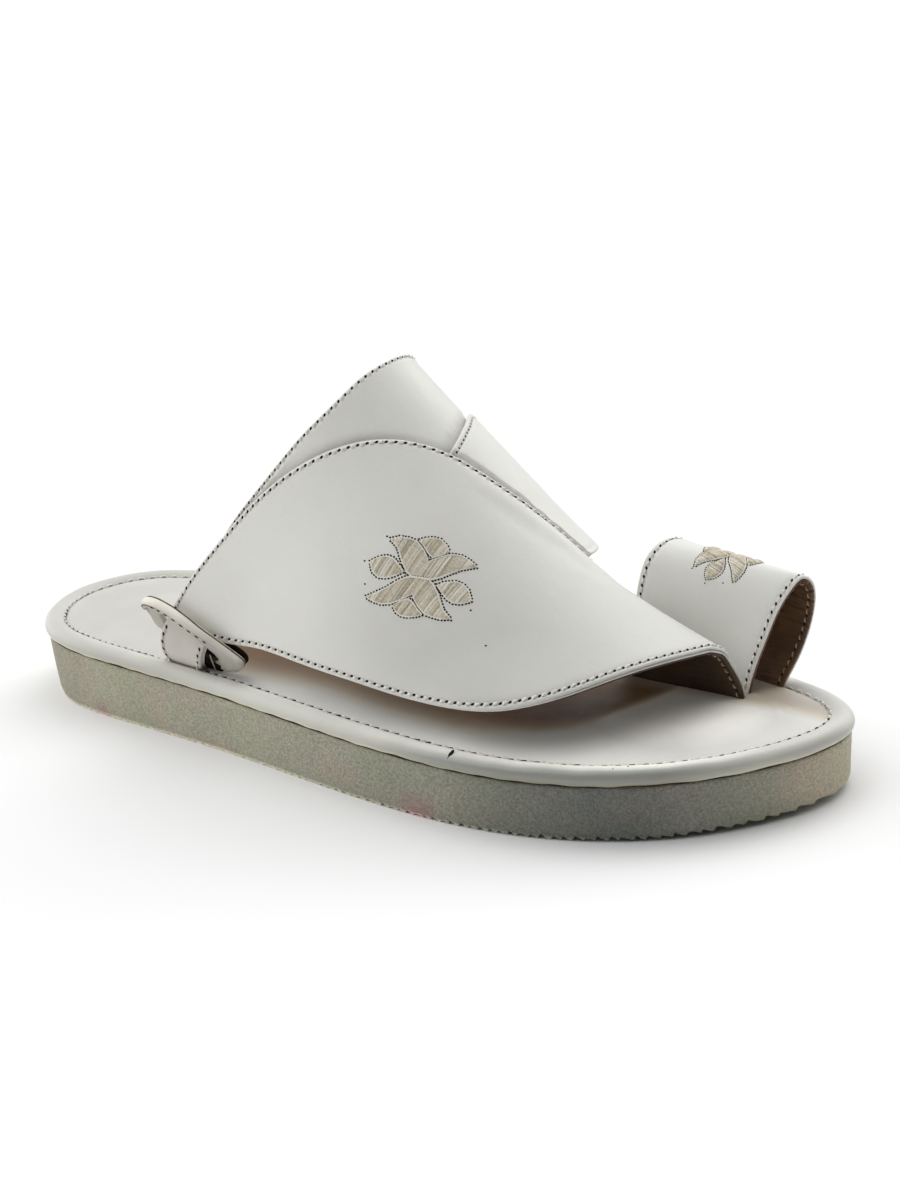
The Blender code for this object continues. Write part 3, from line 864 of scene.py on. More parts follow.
def rolled_leather(name, light, dark):
    """The rim's leather, with painted light and shade by the way each face turns: a painted
    highlight on top and painted shade on its outer side, deepest from the ball to the toe;
    a little darker at the heel and the toe's end; and its downward lower edge painted
    lighter and yellow with glue."""
    look = leather(name, light, dark, 0.33, 0.1)
    facing = look.facing()
    cloud = look.noise(60, 4)
    # Painted shade on faces that turn outward and down the side; from the ball to the toe a painted
    # highlight on top and deeper painted shade on the outer side.
    outward = look.maths("ADD", look.vectors("DOT_PRODUCT", facing, (0.25, -0.43, 0)),
                         look.maths("MULTIPLY_ADD", cloud, 0.16, 0.42))
    facing_shade = look.ramp(outward, (0.42, 1.03), (0.58, 0.93), (0.78, (0.86, 0.86, 0.83)),
                      (1, (0.80, 0.80, 0.76)))
    toe_light_and_shade = look.ramp(outward, (0.40, (1.26, 1.25, 1.22)), (0.52, (1.22, 1.21, 1.18)),
                     (0.66, (0.92, 0.93, 0.91)), (0.78, (0.50, 0.52, 0.505)),
                     (0.90, (0.36, 0.375, 0.36)), (1, (0.44, 0.44, 0.415)))
    forward = look.ramp(look.along_sole(), (0.46, 0), (0.57, 0.25), (0.66, 0.78), (0.75, 1),
                        (0.885, 1), (0.96, 0))
    look.tint(look.mixed(forward, facing_shade, toe_light_and_shade))
    look.tint_along((0, 0.88), (0.25, 0.95), (0.40, 1.08), (0.86, 1.05), (1, 0.90))
    # Painted light and glue: faces turned down, along the lower edge, are made lighter and yellow.
    downward = look.maths("MULTIPLY_ADD", look.axis("Z", facing), 0.5,
                          look.maths("MULTIPLY_ADD", cloud, 0.2, 0.40))
    look.tint(look.ramp(downward, (0.22, (1.25, 1.19, 1.02)), (0.44, 1)))
    return look.mat


def shaded_bed(name, light, dark):
    """The footbed's leather, with painted light and shade: a brown painted shade where the vamp
    hangs over it, standing for the vamp's shadow and the lining's brown reflection, and
    painted light in brighter patches beside the rim, at the toe and in the toe loop's
    shadow. The painted shade's outer edge follows the vamp's: edge_at is its y, as
    (20 mm - y) / 60 mm."""
    look = leather(name, light, dark, 0.46, 0.14)
    # Painted light: patches made brighter beside the outer rim, at the toe and inside the toe loop.
    look.tint_round((66, -34, 25), (46, 32, 60), (0.50, 1.36), (1, 1))
    look.tint_round((97, 2, 25), (28, 26, 60), (0.50, 1.43), (1, 1))
    look.tint_round((112, 29, 25), (17, 12, 60), (0.30, (1.10, 1, 0.88)), (0.95, 1))
    look.tint_along((0.05, 0.90), (0.30, 0.94), (0.44, 1), (0.78, 1), (0.86, 0.94),
                    (0.93, 1.04))
    # Painted shade: a brown band under the vamp, darkest deep under it, fading toward the heel and
    # the inner side.
    y = look.axis("Y")
    edge_at = look.ramp(
        look.along_sole(), (0.342, 0.79), (0.405, 0.772), (0.465, 0.778), (0.542, 0.842),
        (0.606, 0.872), (0.648, 0.887), (0.676, 0.858), (0.701, 0.813), (0.729, 0.755),
        (0.754, 0.65), (0.771, 0.517), (0.782, 0.36), (0.796, 0.19), (0.81, 0))
    shade_depth = look.maths("MULTIPLY_ADD", y, 50, look.maths("MULTIPLY_ADD", edge_at, 3, -0.565))
    shade_depth = look.maths("MULTIPLY_ADD", look.noise(45), 0.08, shade_depth)
    brown = look.ramp(shade_depth, (0.10, 1), (0.25, (0.88, 0.83, 0.75)), (0.375, (0.68, 0.58, 0.46)),
                      (0.50, (0.50, 0.39, 0.285)), (0.625, (0.38, 0.27, 0.18)),
                      (0.75, (0.30, 0.19, 0.115)), (1, (0.25, 0.14, 0.065)))
    inner = look.ramp(look.maths("MULTIPLY", y, 25), (0.30, 1), (0.85, 0))
    heel = look.ramp(look.along_sole(), (0.235, 0), (0.305, 1))
    look.tint(look.mixed(look.maths("MULTIPLY", inner, heel), (1, 1, 1), brown))
    # More brown painted shade under the vamp, and a faint warm tint toward the toe.
    look.tint_round((56, -15, 25), (26, 17, 60), (0.45, (0.56, 0.37, 0.22)), (1, 1))
    look.tint_round((92, 4, 25), (30, 25, 60), (0.40, (1, 0.98, 0.95)), (0.9, 1))
    return look.mat


def shaded_vamp(name, light, dark):
    """The vamp's leather, with painted shade greying it low down over the toes."""
    look = leather(name, light, dark)
    # Painted shade: greyer near a place low over the outer toes.
    away = look.maths("MULTIPLY", look.apart((60, -32, 44), (70, 60, 27)), 0.7)
    look.tint(look.ramp(away, (0.25, 0.79), (0.60, 0.92), (0.90, 1)))
    return look.mat


def shaded_keeper(name, light, dark):
    """The keeper's leather, with painted light and shade: pale on top of the roll and greyer
    below by the way each face turns, greyer toward its far end, and a near-black painted
    shadow behind the slot's lower limb on each side."""
    look = leather(name, light, dark, 0.42, 0.22)
    # Painted light and shade: paler where the face turns up, greyer where it turns down.
    side = look.maths("MULTIPLY_ADD", look.axis("Z", look.facing()), 0.5,
                      look.maths("MULTIPLY_ADD", look.noise(90), 0.2, 0.40))
    look.tint(look.ramp(side, (0.30, (0.62, 0.62, 0.60)), (0.55, (0.92, 0.91, 0.90)),
                        (0.85, (1.16, 1.15, 1.12))))
    # Painted shade: greyer toward the far end.
    look.tint_along((0.30, 1), (0.345, 0.80), (0.365, 0.86))
    # Painted shadow: near black behind the slot's lower limb, on both keepers.
    for hand in (-1, 1):
        limb = look.apart((-50.9, hand * 33.4 + 0.4, 27.6), (4, 2.2, 2.4))
        limb = look.maths("MULTIPLY", limb, 0.6)
        look.tint(look.ramp(limb, (0.50, (0.10, 0.07, 0.05)), (0.62, 1)))
    return look.mat


def lining(name, light, dark):
    """Thin brown lining leather, wrinkled in fine lines across the foot."""
    look = Look(name, 0.5, Specular_IOR_Level=0.4)
    look.clouded(dark, light, 60, 5, 0.32, 0.68)
    look.bump(look.noise(1, Scale=(60, 260, 900)), 0.35, 0.0008)
    look.bump(look.noise(2400, 2), 0.2, 0.0003)
    return look.mat


def thread_cloth(name, light, dark, scale):
    """Twisted thread: fine slanting strands and a soft sheen."""
    look = Look(name, 0.75, Specular_IOR_Level=0.25, Sheen_Weight=0.25)
    look.clouded(dark, light, scale)
    look.bump(look.noise(6000, 2), 0.4, 0.0002)
    return look.mat


def foam_rubber(name):
    """Microcellular foam: a pebbled skin with rose, green and lilac clouds and two rose spots,
    painted light and shade along the sole, darker toward the toe and lighter and warmer at
    the heel and the toe's end, and a painted highlight as a pale flash along the tread."""
    look = Look(name, 0.95, Specular_IOR_Level=0.15)
    look.clouded((0.400, 0.395, 0.338), (0.440, 0.435, 0.374), 30, 4)
    # Painted light and shade along the sole: lighter over the back half, darker toward the toe,
    # lighter and warmer at the toe's end.
    look.tint_along(
        (0, (1.10, 1.07, 0.99)), (0.067, (0.98, 0.955, 0.885)), (0.11, (1.07, 1.04, 0.965)),
        (0.15, (1.28, 1.24, 1.15)), (0.24, (1.19, 1.16, 1.075)), (0.32, (1.165, 1.14, 1.06)),
        (0.42, (1.155, 1.135, 1.06)), (0.57, (0.935, 0.93, 0.875)), (0.66, (0.85, 0.85, 0.81)),
        (0.74, (0.61, 0.63, 0.61)), (0.825, (0.445, 0.475, 0.50)), (0.87, (0.505, 0.535, 0.555)),
        (0.91, (0.71, 0.73, 0.73)), (0.96, (0.94, 0.925, 0.88)), (1, (1.42, 1.34, 1.20)))
    look.tint(look.ramp(look.noise(60, 2, Scale=(1, 1, 1.6)), (0.33, (0.97, 1.015, 0.95)),
                        (0.50, 1), (0.66, (1.05, 0.985, 0.985))))
    for spot, size in ROSE_SPOTS:
        wander = look.maths("MULTIPLY_ADD", look.noise(300), 0.5, look.apart(spot, (size,) * 3))
        blot = look.ramp(look.maths("MULTIPLY", wander, 0.7), (0.25, 0.62), (0.9, 0))
        look.paint(look.mixed(blot, look.base(), (0.46, 0.22, 0.24)))
    # Painted highlight: the lowest 1.7 mm of the sole, its tread, made up to 2.2 times lighter.
    up = look.maths("MULTIPLY", look.axis("Z"), 250)
    look.tint(look.ramp(up, (0.10, 2.2), (0.26, 1.35), (0.42, 1)))
    grain = look.noise(1250, 2, 0.6)
    look.tint(look.ramp(grain, (0.34, 0.74), (0.52, 1), (0.66, 1.22)), 0.75)
    look.bump(look.noise(420), 0.25, 0.0008)
    look.bump(look.noise(1300, 2, 0.6), 1, 0.0008)
    return look.mat


def dull(name, light, dark, scale, roughness=0.8):
    look = Look(name, roughness, Specular_IOR_Level=0.2)
    look.clouded(dark, light, scale, low=0.4)
    return look.mat


UPPER_WHITE = ((0.835, 0.830, 0.785), (0.805, 0.800, 0.755))
VAMP_WHITE = shaded_vamp("leather_vamp", *UPPER_WHITE)
WHITE = leather("leather_upper", *UPPER_WHITE).mat
RIM_WHITE = rolled_leather("leather_rim", (0.76, 0.75, 0.705), (0.72, 0.71, 0.665))
EDGE_WHITE = leather("leather_cut_edge", (0.80, 0.79, 0.75), (0.66, 0.65, 0.61), 0.6, 0.3).mat
FOOTBED_SKIN = shaded_bed("leather_footbed", (0.70, 0.69, 0.65), (0.66, 0.65, 0.61))
KEEPER_WHITE = shaded_keeper("leather_keeper", (0.78, 0.75, 0.68), (0.70, 0.67, 0.60))
STRAP_WHITE = leather("leather_strap", (0.72, 0.685, 0.625), (0.62, 0.585, 0.53), 0.45, 0.25).mat
LINING = lining("lining_brown", (0.080, 0.042, 0.021), (0.032, 0.016, 0.008))
LOOP_LINING = lining("lining_tan", (0.20, 0.105, 0.046), (0.062, 0.029, 0.012))
SEAM_THREAD = thread_cloth("thread_seam", (0.90, 0.885, 0.83), (0.76, 0.74, 0.69), 900)
INNER_THREAD = thread_cloth("thread_lining", (0.55, 0.46, 0.30), (0.36, 0.28, 0.17), 900)
FLOWER_THREAD = thread_cloth("thread_flower", (0.88, 0.82, 0.68), (0.66, 0.60, 0.47), 1500)
FLOWER_SHADE = thread_cloth("thread_flower_shade", (0.70, 0.635, 0.49), (0.48, 0.42, 0.31), 1500)
FLOWER_LIGHT = thread_cloth("thread_flower_light", (0.98, 0.95, 0.87), (0.90, 0.86, 0.75), 1500)
# Near-black brown for the strap's inner layer: painted shadow of the hollow behind the keeper.
STRAP_BACK_SHADOW = dull("strap_back_shadow", (0.030, 0.017, 0.009), (0.014, 0.008, 0.005), 80)
HOLE = dull("pin_hole", (0.036, 0.025, 0.015), (0.014, 0.010, 0.006), 2000, 1)
GLUE = dull("glue_line", (0.16, 0.115, 0.06), (0.05, 0.04, 0.03), 140, 0.7)
FOAM = foam_rubber("foam_microcellular")


# ---------------------------------------------------------------- sole


def tread(x):
    """Height of the underside over its lowest points: ridges across, each steeper behind."""
    phase = (x / TREAD_PITCH + 0.07 * np.sin(x * 0.9) + 0.05 * np.sin(x * 2.3)) % 1
    climb = 0.2
    wave = np.where(phase < climb, phase / climb, (1 - phase) / (1 - climb))
    toward_toe = 0.38 + 0.62 * smooth_step(x, -20, 90)
    return TREAD_DEPTH * toward_toe * wave * (1 + 0.25 * np.sin(x * 1.3))


def make_sole():
    points, outward = outline_points(950)
    heel = 1 - smooth_step(points[:, :1], -142, -110)
    rings = []
    for share in SOLE_LEVELS:
        inset = 0.5 * (1 - smooth_step(share, 0, 0.12)) + 0.25 * (1 - share) + 0.35
        inset = inset + heel * (2.4 * (1 - share) ** 1.6 + 0.5)
        inset = inset + 0.4 * smooth_step(share, 0.96, 1)
        inside = points - outward * inset
        x = inside[:, 0]
        bottom = floor_rise(x) + tread(x) * (1 - smooth_step(share, 0, 0.10))
        bulge = 0.10 * np.sin(points[:, 0] * 0.35) * np.sin(share * math.pi)
        rings.append(np.column_stack([inside, bottom + share * (foam_top(x) - bottom) + bulge]))
    add_piece("foam_sole", slab(rings, 6), FOAM, "outsole", "foam_grey", sharp=60)


def make_rim():
    outline = outline_points(330)
    points, outward = outline
    arc = spline(range(len(RIM_ARC)), RIM_ARC)(np.linspace(0, len(RIM_ARC) - 1, 25))
    rings = []
    for inset, up in np.vstack([arc, RIM_UNDER]):
        x = (points - outward * inset)[:, 0]
        ripple = 0.07 * np.sin(x * 0.31 + points[:, 1] * 0.2) * np.sin(x * 0.083 + 1.3)
        sag = 0.16 * np.sin(x * 0.21 + 0.8) * np.sin(x * 0.047) + 0.10 * np.sin(x * 0.63)
        sag = sag * (1 - smooth_step(up, 0.5, 2.5)) * (inset < 2)
        rings.append(set_in(outline, inset, up + ripple * smooth_step(up, 2, 5) + sag))
    bead = tube_rings(np.array(rings).transpose(1, 0, 2))
    add_piece("rim_bead", bead, RIM_WHITE, "rim")

    number = np.arange(len(points))[:, None]
    wander = 0.05 * np.sin(number * 0.37) * np.sin(number * 0.11)
    (inset, lift), (half_width, half_height) = GLUE_AT, GLUE_HALF
    rings = [set_in(outline, inset - half_width * out - wander, lift + half_height * up)
             for out, up in zip(*circle(8))]
    line = tube_rings(np.array(rings).transpose(1, 0, 2))
    add_piece("glue_line", line, GLUE, "rim", "foam_grey")

    line = set_in(outline, VALLEY - 0.25, 4.05)
    line = np.vstack([line, line[:1]])
    seam = Seam()
    for start, end, pitch, hole in RIM_SEAMS:
        part = line[int(start * len(line)):int(end * len(line)) + 1]
        seam.sew(part, np.tile(UP, (len(part), 1)), pitch, hole=hole, **RIM_STITCH)
    seam.make("rim_stitch", "rim", SEAM_THREAD)

    places = np.column_stack([RIM_MARKS, np.full(len(RIM_MARKS), 24)])
    ups = unit(np.array((NICK_OUT, UP, UP)))
    runs = unit(np.array((NICK_RUN, SPECK_RUN, SPECK_RUN)))
    places += ups * (np.nan_to_num(height_over(places, ups, bead)) + 0.03)[:, None]
    nick = lenses(places[:1], ups[:1], runs[:1], *NICK_HALF)
    specks = lenses(places[1:], ups[1:], runs[1:], *SPECK_HALF)
    add_piece("rim_nicks", joined([nick, specks]), HOLE, "rim")


def padding(x, y, edge):
    """The footbed's swell over its border, with its wrinkles at the toe."""
    toe = smooth_step(x, 96, 112) * smooth_step(y, -10, 12)
    wrinkle = 0.30 * hump(edge, 5, 2.4) * (1 + 0.6 * np.sin(x * 1.3 + y * 0.9))
    wrinkle = wrinkle - 0.16 * hump(edge + 0.25 * y, 13, 2.2)
    swell = 0.35 * smooth_step(edge, 0, 14) + 0.12 * np.sin(x * 0.055 + 0.6) * np.cos(y * 0.09)
    return swell + toe * wrinkle


def make_footbed():
    outline = outline_points(300)
    rings = [set_in(outline, inset, up) for inset, up in ((VALLEY, 0.3), *FOOTBED)]
    obj = new_piece("footbed", *slab(rings, 34, padding), [FOOTBED_SKIN])
    belongs(obj, "leather_footbed", "insole")


# ---------------------------------------------------------------- upper


def height_over(points, normals, cover):
    """How far another sheet's underside lies over each point, and NaN where it doesn't."""
    tree = BVHTree.FromPolygons(cover[0].tolist(), cover[1].tolist())
    reach = 7
    found = np.full(points.shape[:-1], np.nan)
    for at in np.ndindex(found.shape):
        start = Vector(points[at] + normals[at] * reach)
        hit = tree.ray_cast(start, Vector(-normals[at]), 2 * reach)
        if hit[0] is not None:
            found[at] = reach - hit[3]
    return found


def sink_under(points, normals, cover, gap):
    """How far each point has to go down to clear the sheet over it."""
    height = height_over(points, normals, cover)
    sink = np.where(np.isnan(height), 0, np.maximum(gap - height, 0))
    for _ in range(2):
        wide = np.pad(sink, 1, mode="edge")
        near = [wide[i:i + sink.shape[0], j:j + sink.shape[1]] for i in range(3) for j in range(3)]
        sink = np.max(near, axis=0) * 0.5 + np.mean(near, axis=0) * 0.5
    return sink


def settled(line, cover, lift=0.10):
    """A seam's points and normals, moved onto the leather's face."""
    points, normals = line
    height = height_over(points, normals, cover)
    height = np.where(np.isnan(height), 0, height)
    return points + normals * (height + lift)[:, None], normals


def sheet_grid(sheet, count, between, depth, near=NEAR_EDGE, ends=0.6):
    """u and v of a sheet's grid, and each point's distance to its two edges."""
    length = np.linalg.norm(np.diff(edge_curve(sheet, 0.5, depth), axis=0), axis=1).sum()
    u = np.linspace(ends / length, 1 - ends / length, count)
    v = lines_across(width_of(sheet, u, depth), near, between)
    u = np.broadcast_to(u[:, None], v.shape)
    points = sheet.point(u, v, depth)
    first = distances(points, edge_curve(sheet, 0, depth, 900))
    second = distances(points, edge_curve(sheet, 1, depth, 900))
    return u, v, first, second


def edge_soft(distance, stitch):
    """How far a leather face dips near its edge and along its stitches."""
    return 0.16 * (1 - smooth_step(distance, 0.3, 1)) + 0.28 * hump(distance, stitch, 0.72)


def face_mesh(points):
    return points.reshape(-1, 3), grid_quads(*points.shape[:2])


def vamp_height(u, v, top, low):
    """The vamp's outer face over the last, with its soft creases; top and low are the
    distances to its two edges."""
    lie = smooth_step(u, 0.40, 0.50) * (1 - smooth_step(u, 0.66, 0.76))
    crease = lie * (0.22 * hump(top, 4.6, 2.4) - 0.16 * hump(top, 10, 3))
    soft = 0.26 * np.sin(u * 21 + v * 3) * np.sin(v * math.pi) * (1 - smooth_step(u, 0.85, 0.95))
    seams = edge_soft(top, VAMP_SEAMS[0]) + edge_soft(low, VAMP_SEAMS[1])
    return VAMP_FACES[1] + crease + soft - seams


def inner_part(first, second, inset):
    """Drops a grid's outer columns, which lie nearer to the sheet's edges than this."""
    near = (np.minimum(first, second) < inset).mean(axis=0) > 0.5
    kept = ~near
    return lambda *grids: [grid[1:-1][:, kept] for grid in grids]


def make_vamp(vamp):
    """Leather, a thin backing that shows as a second pale line, and lining. Returns the
    outer face and the underside."""
    low, top = VAMP_FACES
    grid = sheet_grid(vamp, 190, 40, top, near=(0.85, 1.15, *NEAR_EDGE[2:]))
    face = vamp_height(*grid)
    outside = face_mesh(vamp.point(*grid[:2], face))
    leather_back, backing_face, backing_back, lining_face = VAMP_LAYERS
    add_leaf("vamp_leather", vamp, *grid[:2], face, face - leather_back, VAMP_WHITE)
    grid = sheet_grid(vamp, 150, 24, top, near=(0.2, 0.9, 1.5, 2.4, 4))
    face = vamp_height(*grid)
    add_leaf("vamp_backing", vamp, *grid[:2], face - backing_face, face - backing_back, EDGE_WHITE)
    grid = sheet_grid(vamp, 170, 30, low, near=(0.75, 1.5, 2.4, 3.6, 5), ends=1)
    wrinkle = 0.10 * np.sin(grid[0] * 190 + 3 * np.sin(grid[1] * 4)) * hump(grid[0], 0.74, 0.10)
    lined = low - 0.1 + wrinkle
    add_leaf("vamp_lining", vamp, *grid[:2], vamp_height(*grid) - lining_face, lined, LINING)
    return outside, face_mesh(vamp.point(*grid[:2], lined))


def make_upper():
    vamp = Panel(VAMP, toe_box=True)
    cross = Panel(CROSS)
    instep = Panel(INSTEP)
    vamp_face, under = make_vamp(vamp)

    # the cross strap, which sinks where the vamp covers it
    low, top = CROSS_FACES
    u, v, back, front = sheet_grid(cross, 130, 26, top)
    face = top - edge_soft(back, CROSS_SEAM) - edge_soft(front, CROSS_SEAM)
    face = face - sink_under(cross.point(u, v, face), normals_of(cross, u, v, top), under, 0.15)
    cross_face = face_mesh(cross.point(u, v, face))
    leather_back, lining_face, lining_back = CROSS_LAYERS
    add_leaf("cross_leather", cross, u, v, face, face - leather_back, WHITE)
    inside = np.minimum(low, face - lining_back)
    lined_u, lined_v, high, low = inner_part(back, front, LINING_INSET)(u, v, face, inside)
    add_leaf("cross_lining", cross, lined_u, lined_v, high - lining_face, low, LINING)
    cross_under = face_mesh(cross.point(u, v, inside))

    # the instep panel, which sinks under both
    top = INSTEP_FACES[1]
    u, v, back, front = sheet_grid(instep, 170, 40, top)
    face = top - edge_soft(back, INSTEP_SEAM) - edge_soft(front, INSTEP_SEAM)
    face = face + 0.20 * np.sin(u * 26 + 1) * np.sin(v * math.pi)
    points, out = instep.point(u, v, face), normals_of(instep, u, v, top)
    sink = np.maximum(*(sink_under(points, out, cover, 0.12) for cover in (under, cross_under)))
    face = np.maximum(face - sink, INSTEP_LEAST)
    middle = face * 0.5
    instep_face = face_mesh(instep.point(u, v, face))
    add_leaf("instep_leather", instep, u, v, face, middle + 0.03, WHITE)
    lined_u, lined_v, high = inner_part(back, front, LINING_INSET)(u, v, middle)
    add_leaf("instep_lining", instep, lined_u, lined_v, high - 0.03, 0 * high, LINING)

    seam = Seam()
    low, top = VAMP_FACES
    seam.sew_edge(vamp, 0, VAMP_SEAMS[0], top, (0, 0.80), vamp_face)
    seam.sew_edge(vamp, 1, VAMP_SEAMS[1], top, (0.03, 0.93), vamp_face)
    seam.sew_edge(instep, 0, INSTEP_SEAM, INSTEP_FACES[1], (0.03, 0.97), instep_face,
                  hole=(0.56, 0.36))
    seam.sew_edge(cross, 0, CROSS_SEAM, CROSS_FACES[1], (0.06, 0.95), cross_face, **CROSS_STITCH)
    seam.make("upper_stitch", "upper", SEAM_THREAD)

    seam = Seam()
    points, ups = line_beside(vamp, 1, 1.7, low - 0.12, 0.45, 0.93)
    seam.sew(points, -ups, radius=0.26, hole=(0.6, 0.36))
    seam.make("vamp_lining_stitch", "upper", INNER_THREAD)
    make_flower("vamp_flower", "upper", vamp, vamp_chart(vamp), top, vamp_face)


def mirrored(rows, side):
    """Rows of two places each, moved to the inner side where side is 1."""
    rows = np.array(rows)
    if side > 0:
        rows[:, [1, 4]] = 2 * MIRROR_Y - rows[:, [1, 4]]
    return rows


def strap_rows():
    depth = sum(VAMP_FACES) / 2
    on_last = [(*last_offset(*row[:2], depth), *last_offset(*row[2:], depth))
               for row in STRAP_START]
    return on_last + list(STRAP)


def make_straps():
    half = STRAP_THICK / 2
    for name, side in SIDES:
        strap = Ruled(mirrored(strap_rows(), side), side)
        probe = strap.point(0.5, 0.5, 1) - strap.point(0.5, 0.5, 0)
        strap.side *= 1 if probe[1] * side > 0 else -1
        u, v, rear, front = sheet_grid(strap, 60, 8, half, near=(0.65, 1.1, 1.6, 2.2), ends=0.7)
        face = half - edge_soft(rear, 1.9) * 0.7 - edge_soft(front, 1.9) * 0.7
        strap_face = face_mesh(strap.point(u, v, face))
        flat = 0 * u
        add_leaf(f"strap_{name}_leather", strap, u, v, face, flat + 0.03, STRAP_WHITE)
        add_leaf(f"strap_{name}_backing", strap, u, v, flat - 0.03, flat - half, EDGE_WHITE)
        seam = Seam()
        for edge in (0, 1):
            seam.sew_edge(strap, edge, 1.3, half, (0.30, 0.90), strap_face, **STRAP_STITCH)
        seam.make(f"strap_{name}_stitch", "upper", SEAM_THREAD)
        u, v = np.meshgrid(np.linspace(0, 1, 24), np.linspace(0, 1, 14), indexing="ij")
        # The leg is near black: painted shadow of the hollow behind the keeper.
        for part, table, mat, thick in (("leg_shadow", STRAP_LEG, STRAP_BACK_SHADOW, 0.5),
                                        ("strip", STRAP_STRIP, EDGE_WHITE, 0.12)):
            add_leaf(f"strap_{name}_{part}", Ruled(mirrored(table, side)), u, v, 0 * u + thick,
                     0 * u - thick, mat)


def keeper_axes():
    along = unit(np.array((math.cos(KEEPER_DROP), -math.sin(KEEPER_SPLAY), -math.sin(KEEPER_DROP))))
    outward = unit(np.cross(along, (0, 0, 1)))
    upright = np.cross(outward, along)
    up = upright * math.cos(KEEPER_LEAN) + outward * math.sin(KEEPER_LEAN)
    return along, up, np.cross(along, up)


def keeper_place(flat, height, side):
    """Points over the keeper's own plane, from along and up in it and height out of it."""
    along, up, face = keeper_axes()
    place = (np.array(KEEPER_AT) + along * flat[..., :1] + up * flat[..., 1:2]
             + face * np.asarray(height)[..., None])
    if side > 0:
        place[..., 1] = 2 * MIRROR_Y - place[..., 1]
    return place


def rounded(distance, radius):
    return np.sqrt(np.clip(1 - (1 - np.minimum(distance / radius, 1)) ** 2, 0, 1))


def seam_place(roll):
    """How far in from the keeper's outer edge its seam runs over the roll."""
    return 0.40 * np.minimum(roll, 4.2 + 0.25 * roll)


def keeper_section(rows, inward):
    """Flat places and front and back heights of the ring this far in from its outer edge."""
    outer, inner = rows[:, None, :2], rows[:, None, 2:4]
    width = np.linalg.norm(outer - inner, axis=2)
    roll = np.clip(rows[:, 4:], 0.3, width - 0.6)
    s = inward(width, roll)
    flat = KEEPER_FLAT * rounded(s, 0.6) * rounded(width - s, 0.6)
    high = KEEPER_ROLL * smooth_step(roll, 0.8, 2.6)
    tube = high * np.clip(1 - np.abs(2 * s / roll - 1) ** 2.4, 0, 1) ** 0.5
    front = np.maximum(flat, tube) - 0.35 * smooth_step(high, 0.5, 1.5) * hump(s, roll + 0.1, 0.35)
    front -= 0.25 * smooth_step(high, 0.5, 1.5) * hump(s, seam_place(roll), 0.28)
    back = -np.maximum(flat, 0.8 * tube)
    return outer + (inner - outer) * (s / width)[..., None], front, back


def keeper_line(ring, part, at):
    """Flat places and heights of a thin line on the keeper at these knots of its ring."""
    turned = smooth_step(at, 2.6, 4.2)[:, None]
    inset = {
        "edge": lambda width, roll: 0.1 + 0.4 * turned,
        "low_edge": lambda width, roll: 0.12 + 0 * width,
        "crease": lambda width, roll: seam_place(roll),
        "seam": lambda width, roll: seam_place(roll),
    }[part]
    spot, height, _ = keeper_section(ring(at % len(KEEPER_RING)), inset)
    over = {"low_edge": 0.05, "crease": 0.06, "seam": 0.22}
    return spot, -0.35 - 0.95 * turned if part == "edge" else height + over[part]


def make_keepers():
    count = len(KEEPER_RING)
    ring = spline(range(count + 1), KEEPER_RING + KEEPER_RING[:1], closed=True)
    rows = ring(np.linspace(0, count, 200, endpoint=False))

    def inward(width, roll):
        lip = (width - roll) * np.array(LIP_SHARES)
        return np.concatenate([roll * np.array(ROLL_SHARES), roll + lip], axis=1)

    flat, front, back = keeper_section(rows, inward)
    flat = np.concatenate([flat, flat[:, -2:0:-1]], axis=1)
    height = np.concatenate([front, back[:, -2:0:-1]], axis=1)
    cos, sin = circle(6)
    for name, side in SIDES:
        node = f"keeper_{name}"
        add_piece(f"keeper_ring_{name}", tube_rings(keeper_place(flat, height, side)),
                  KEEPER_WHITE, node, sharp=70)

        for part, start, end, thick in KEEPER_LINES:
            spot, up = keeper_line(ring, part, np.linspace(start, end, 160))
            around = spot + np.stack([0 * cos, thick * cos], axis=1)[None]
            verts, faces = tube_rings(keeper_place(around, up + 1.4 * thick * sin, side), False)
            ends = [tuple(range(6)), tuple(range(len(verts) - 6, len(verts)))]
            add_piece(f"{node}_{part}", (verts, faces.tolist() + ends), GLUE, node)

        spot, up = keeper_line(ring, "seam", np.linspace(*KEEPER_SEAM, 160))
        spot, up = spot[:, 0], up[:, 0]
        line = keeper_place(spot, up, side)
        out = unit(keeper_place(spot + np.array((0, 0.8)), up + 0.78, side) - line)
        seam = Seam()
        seam.sew(line, out, **KEEPER_STITCH)
        seam.make(f"{node}_stitch", node, SEAM_THREAD)


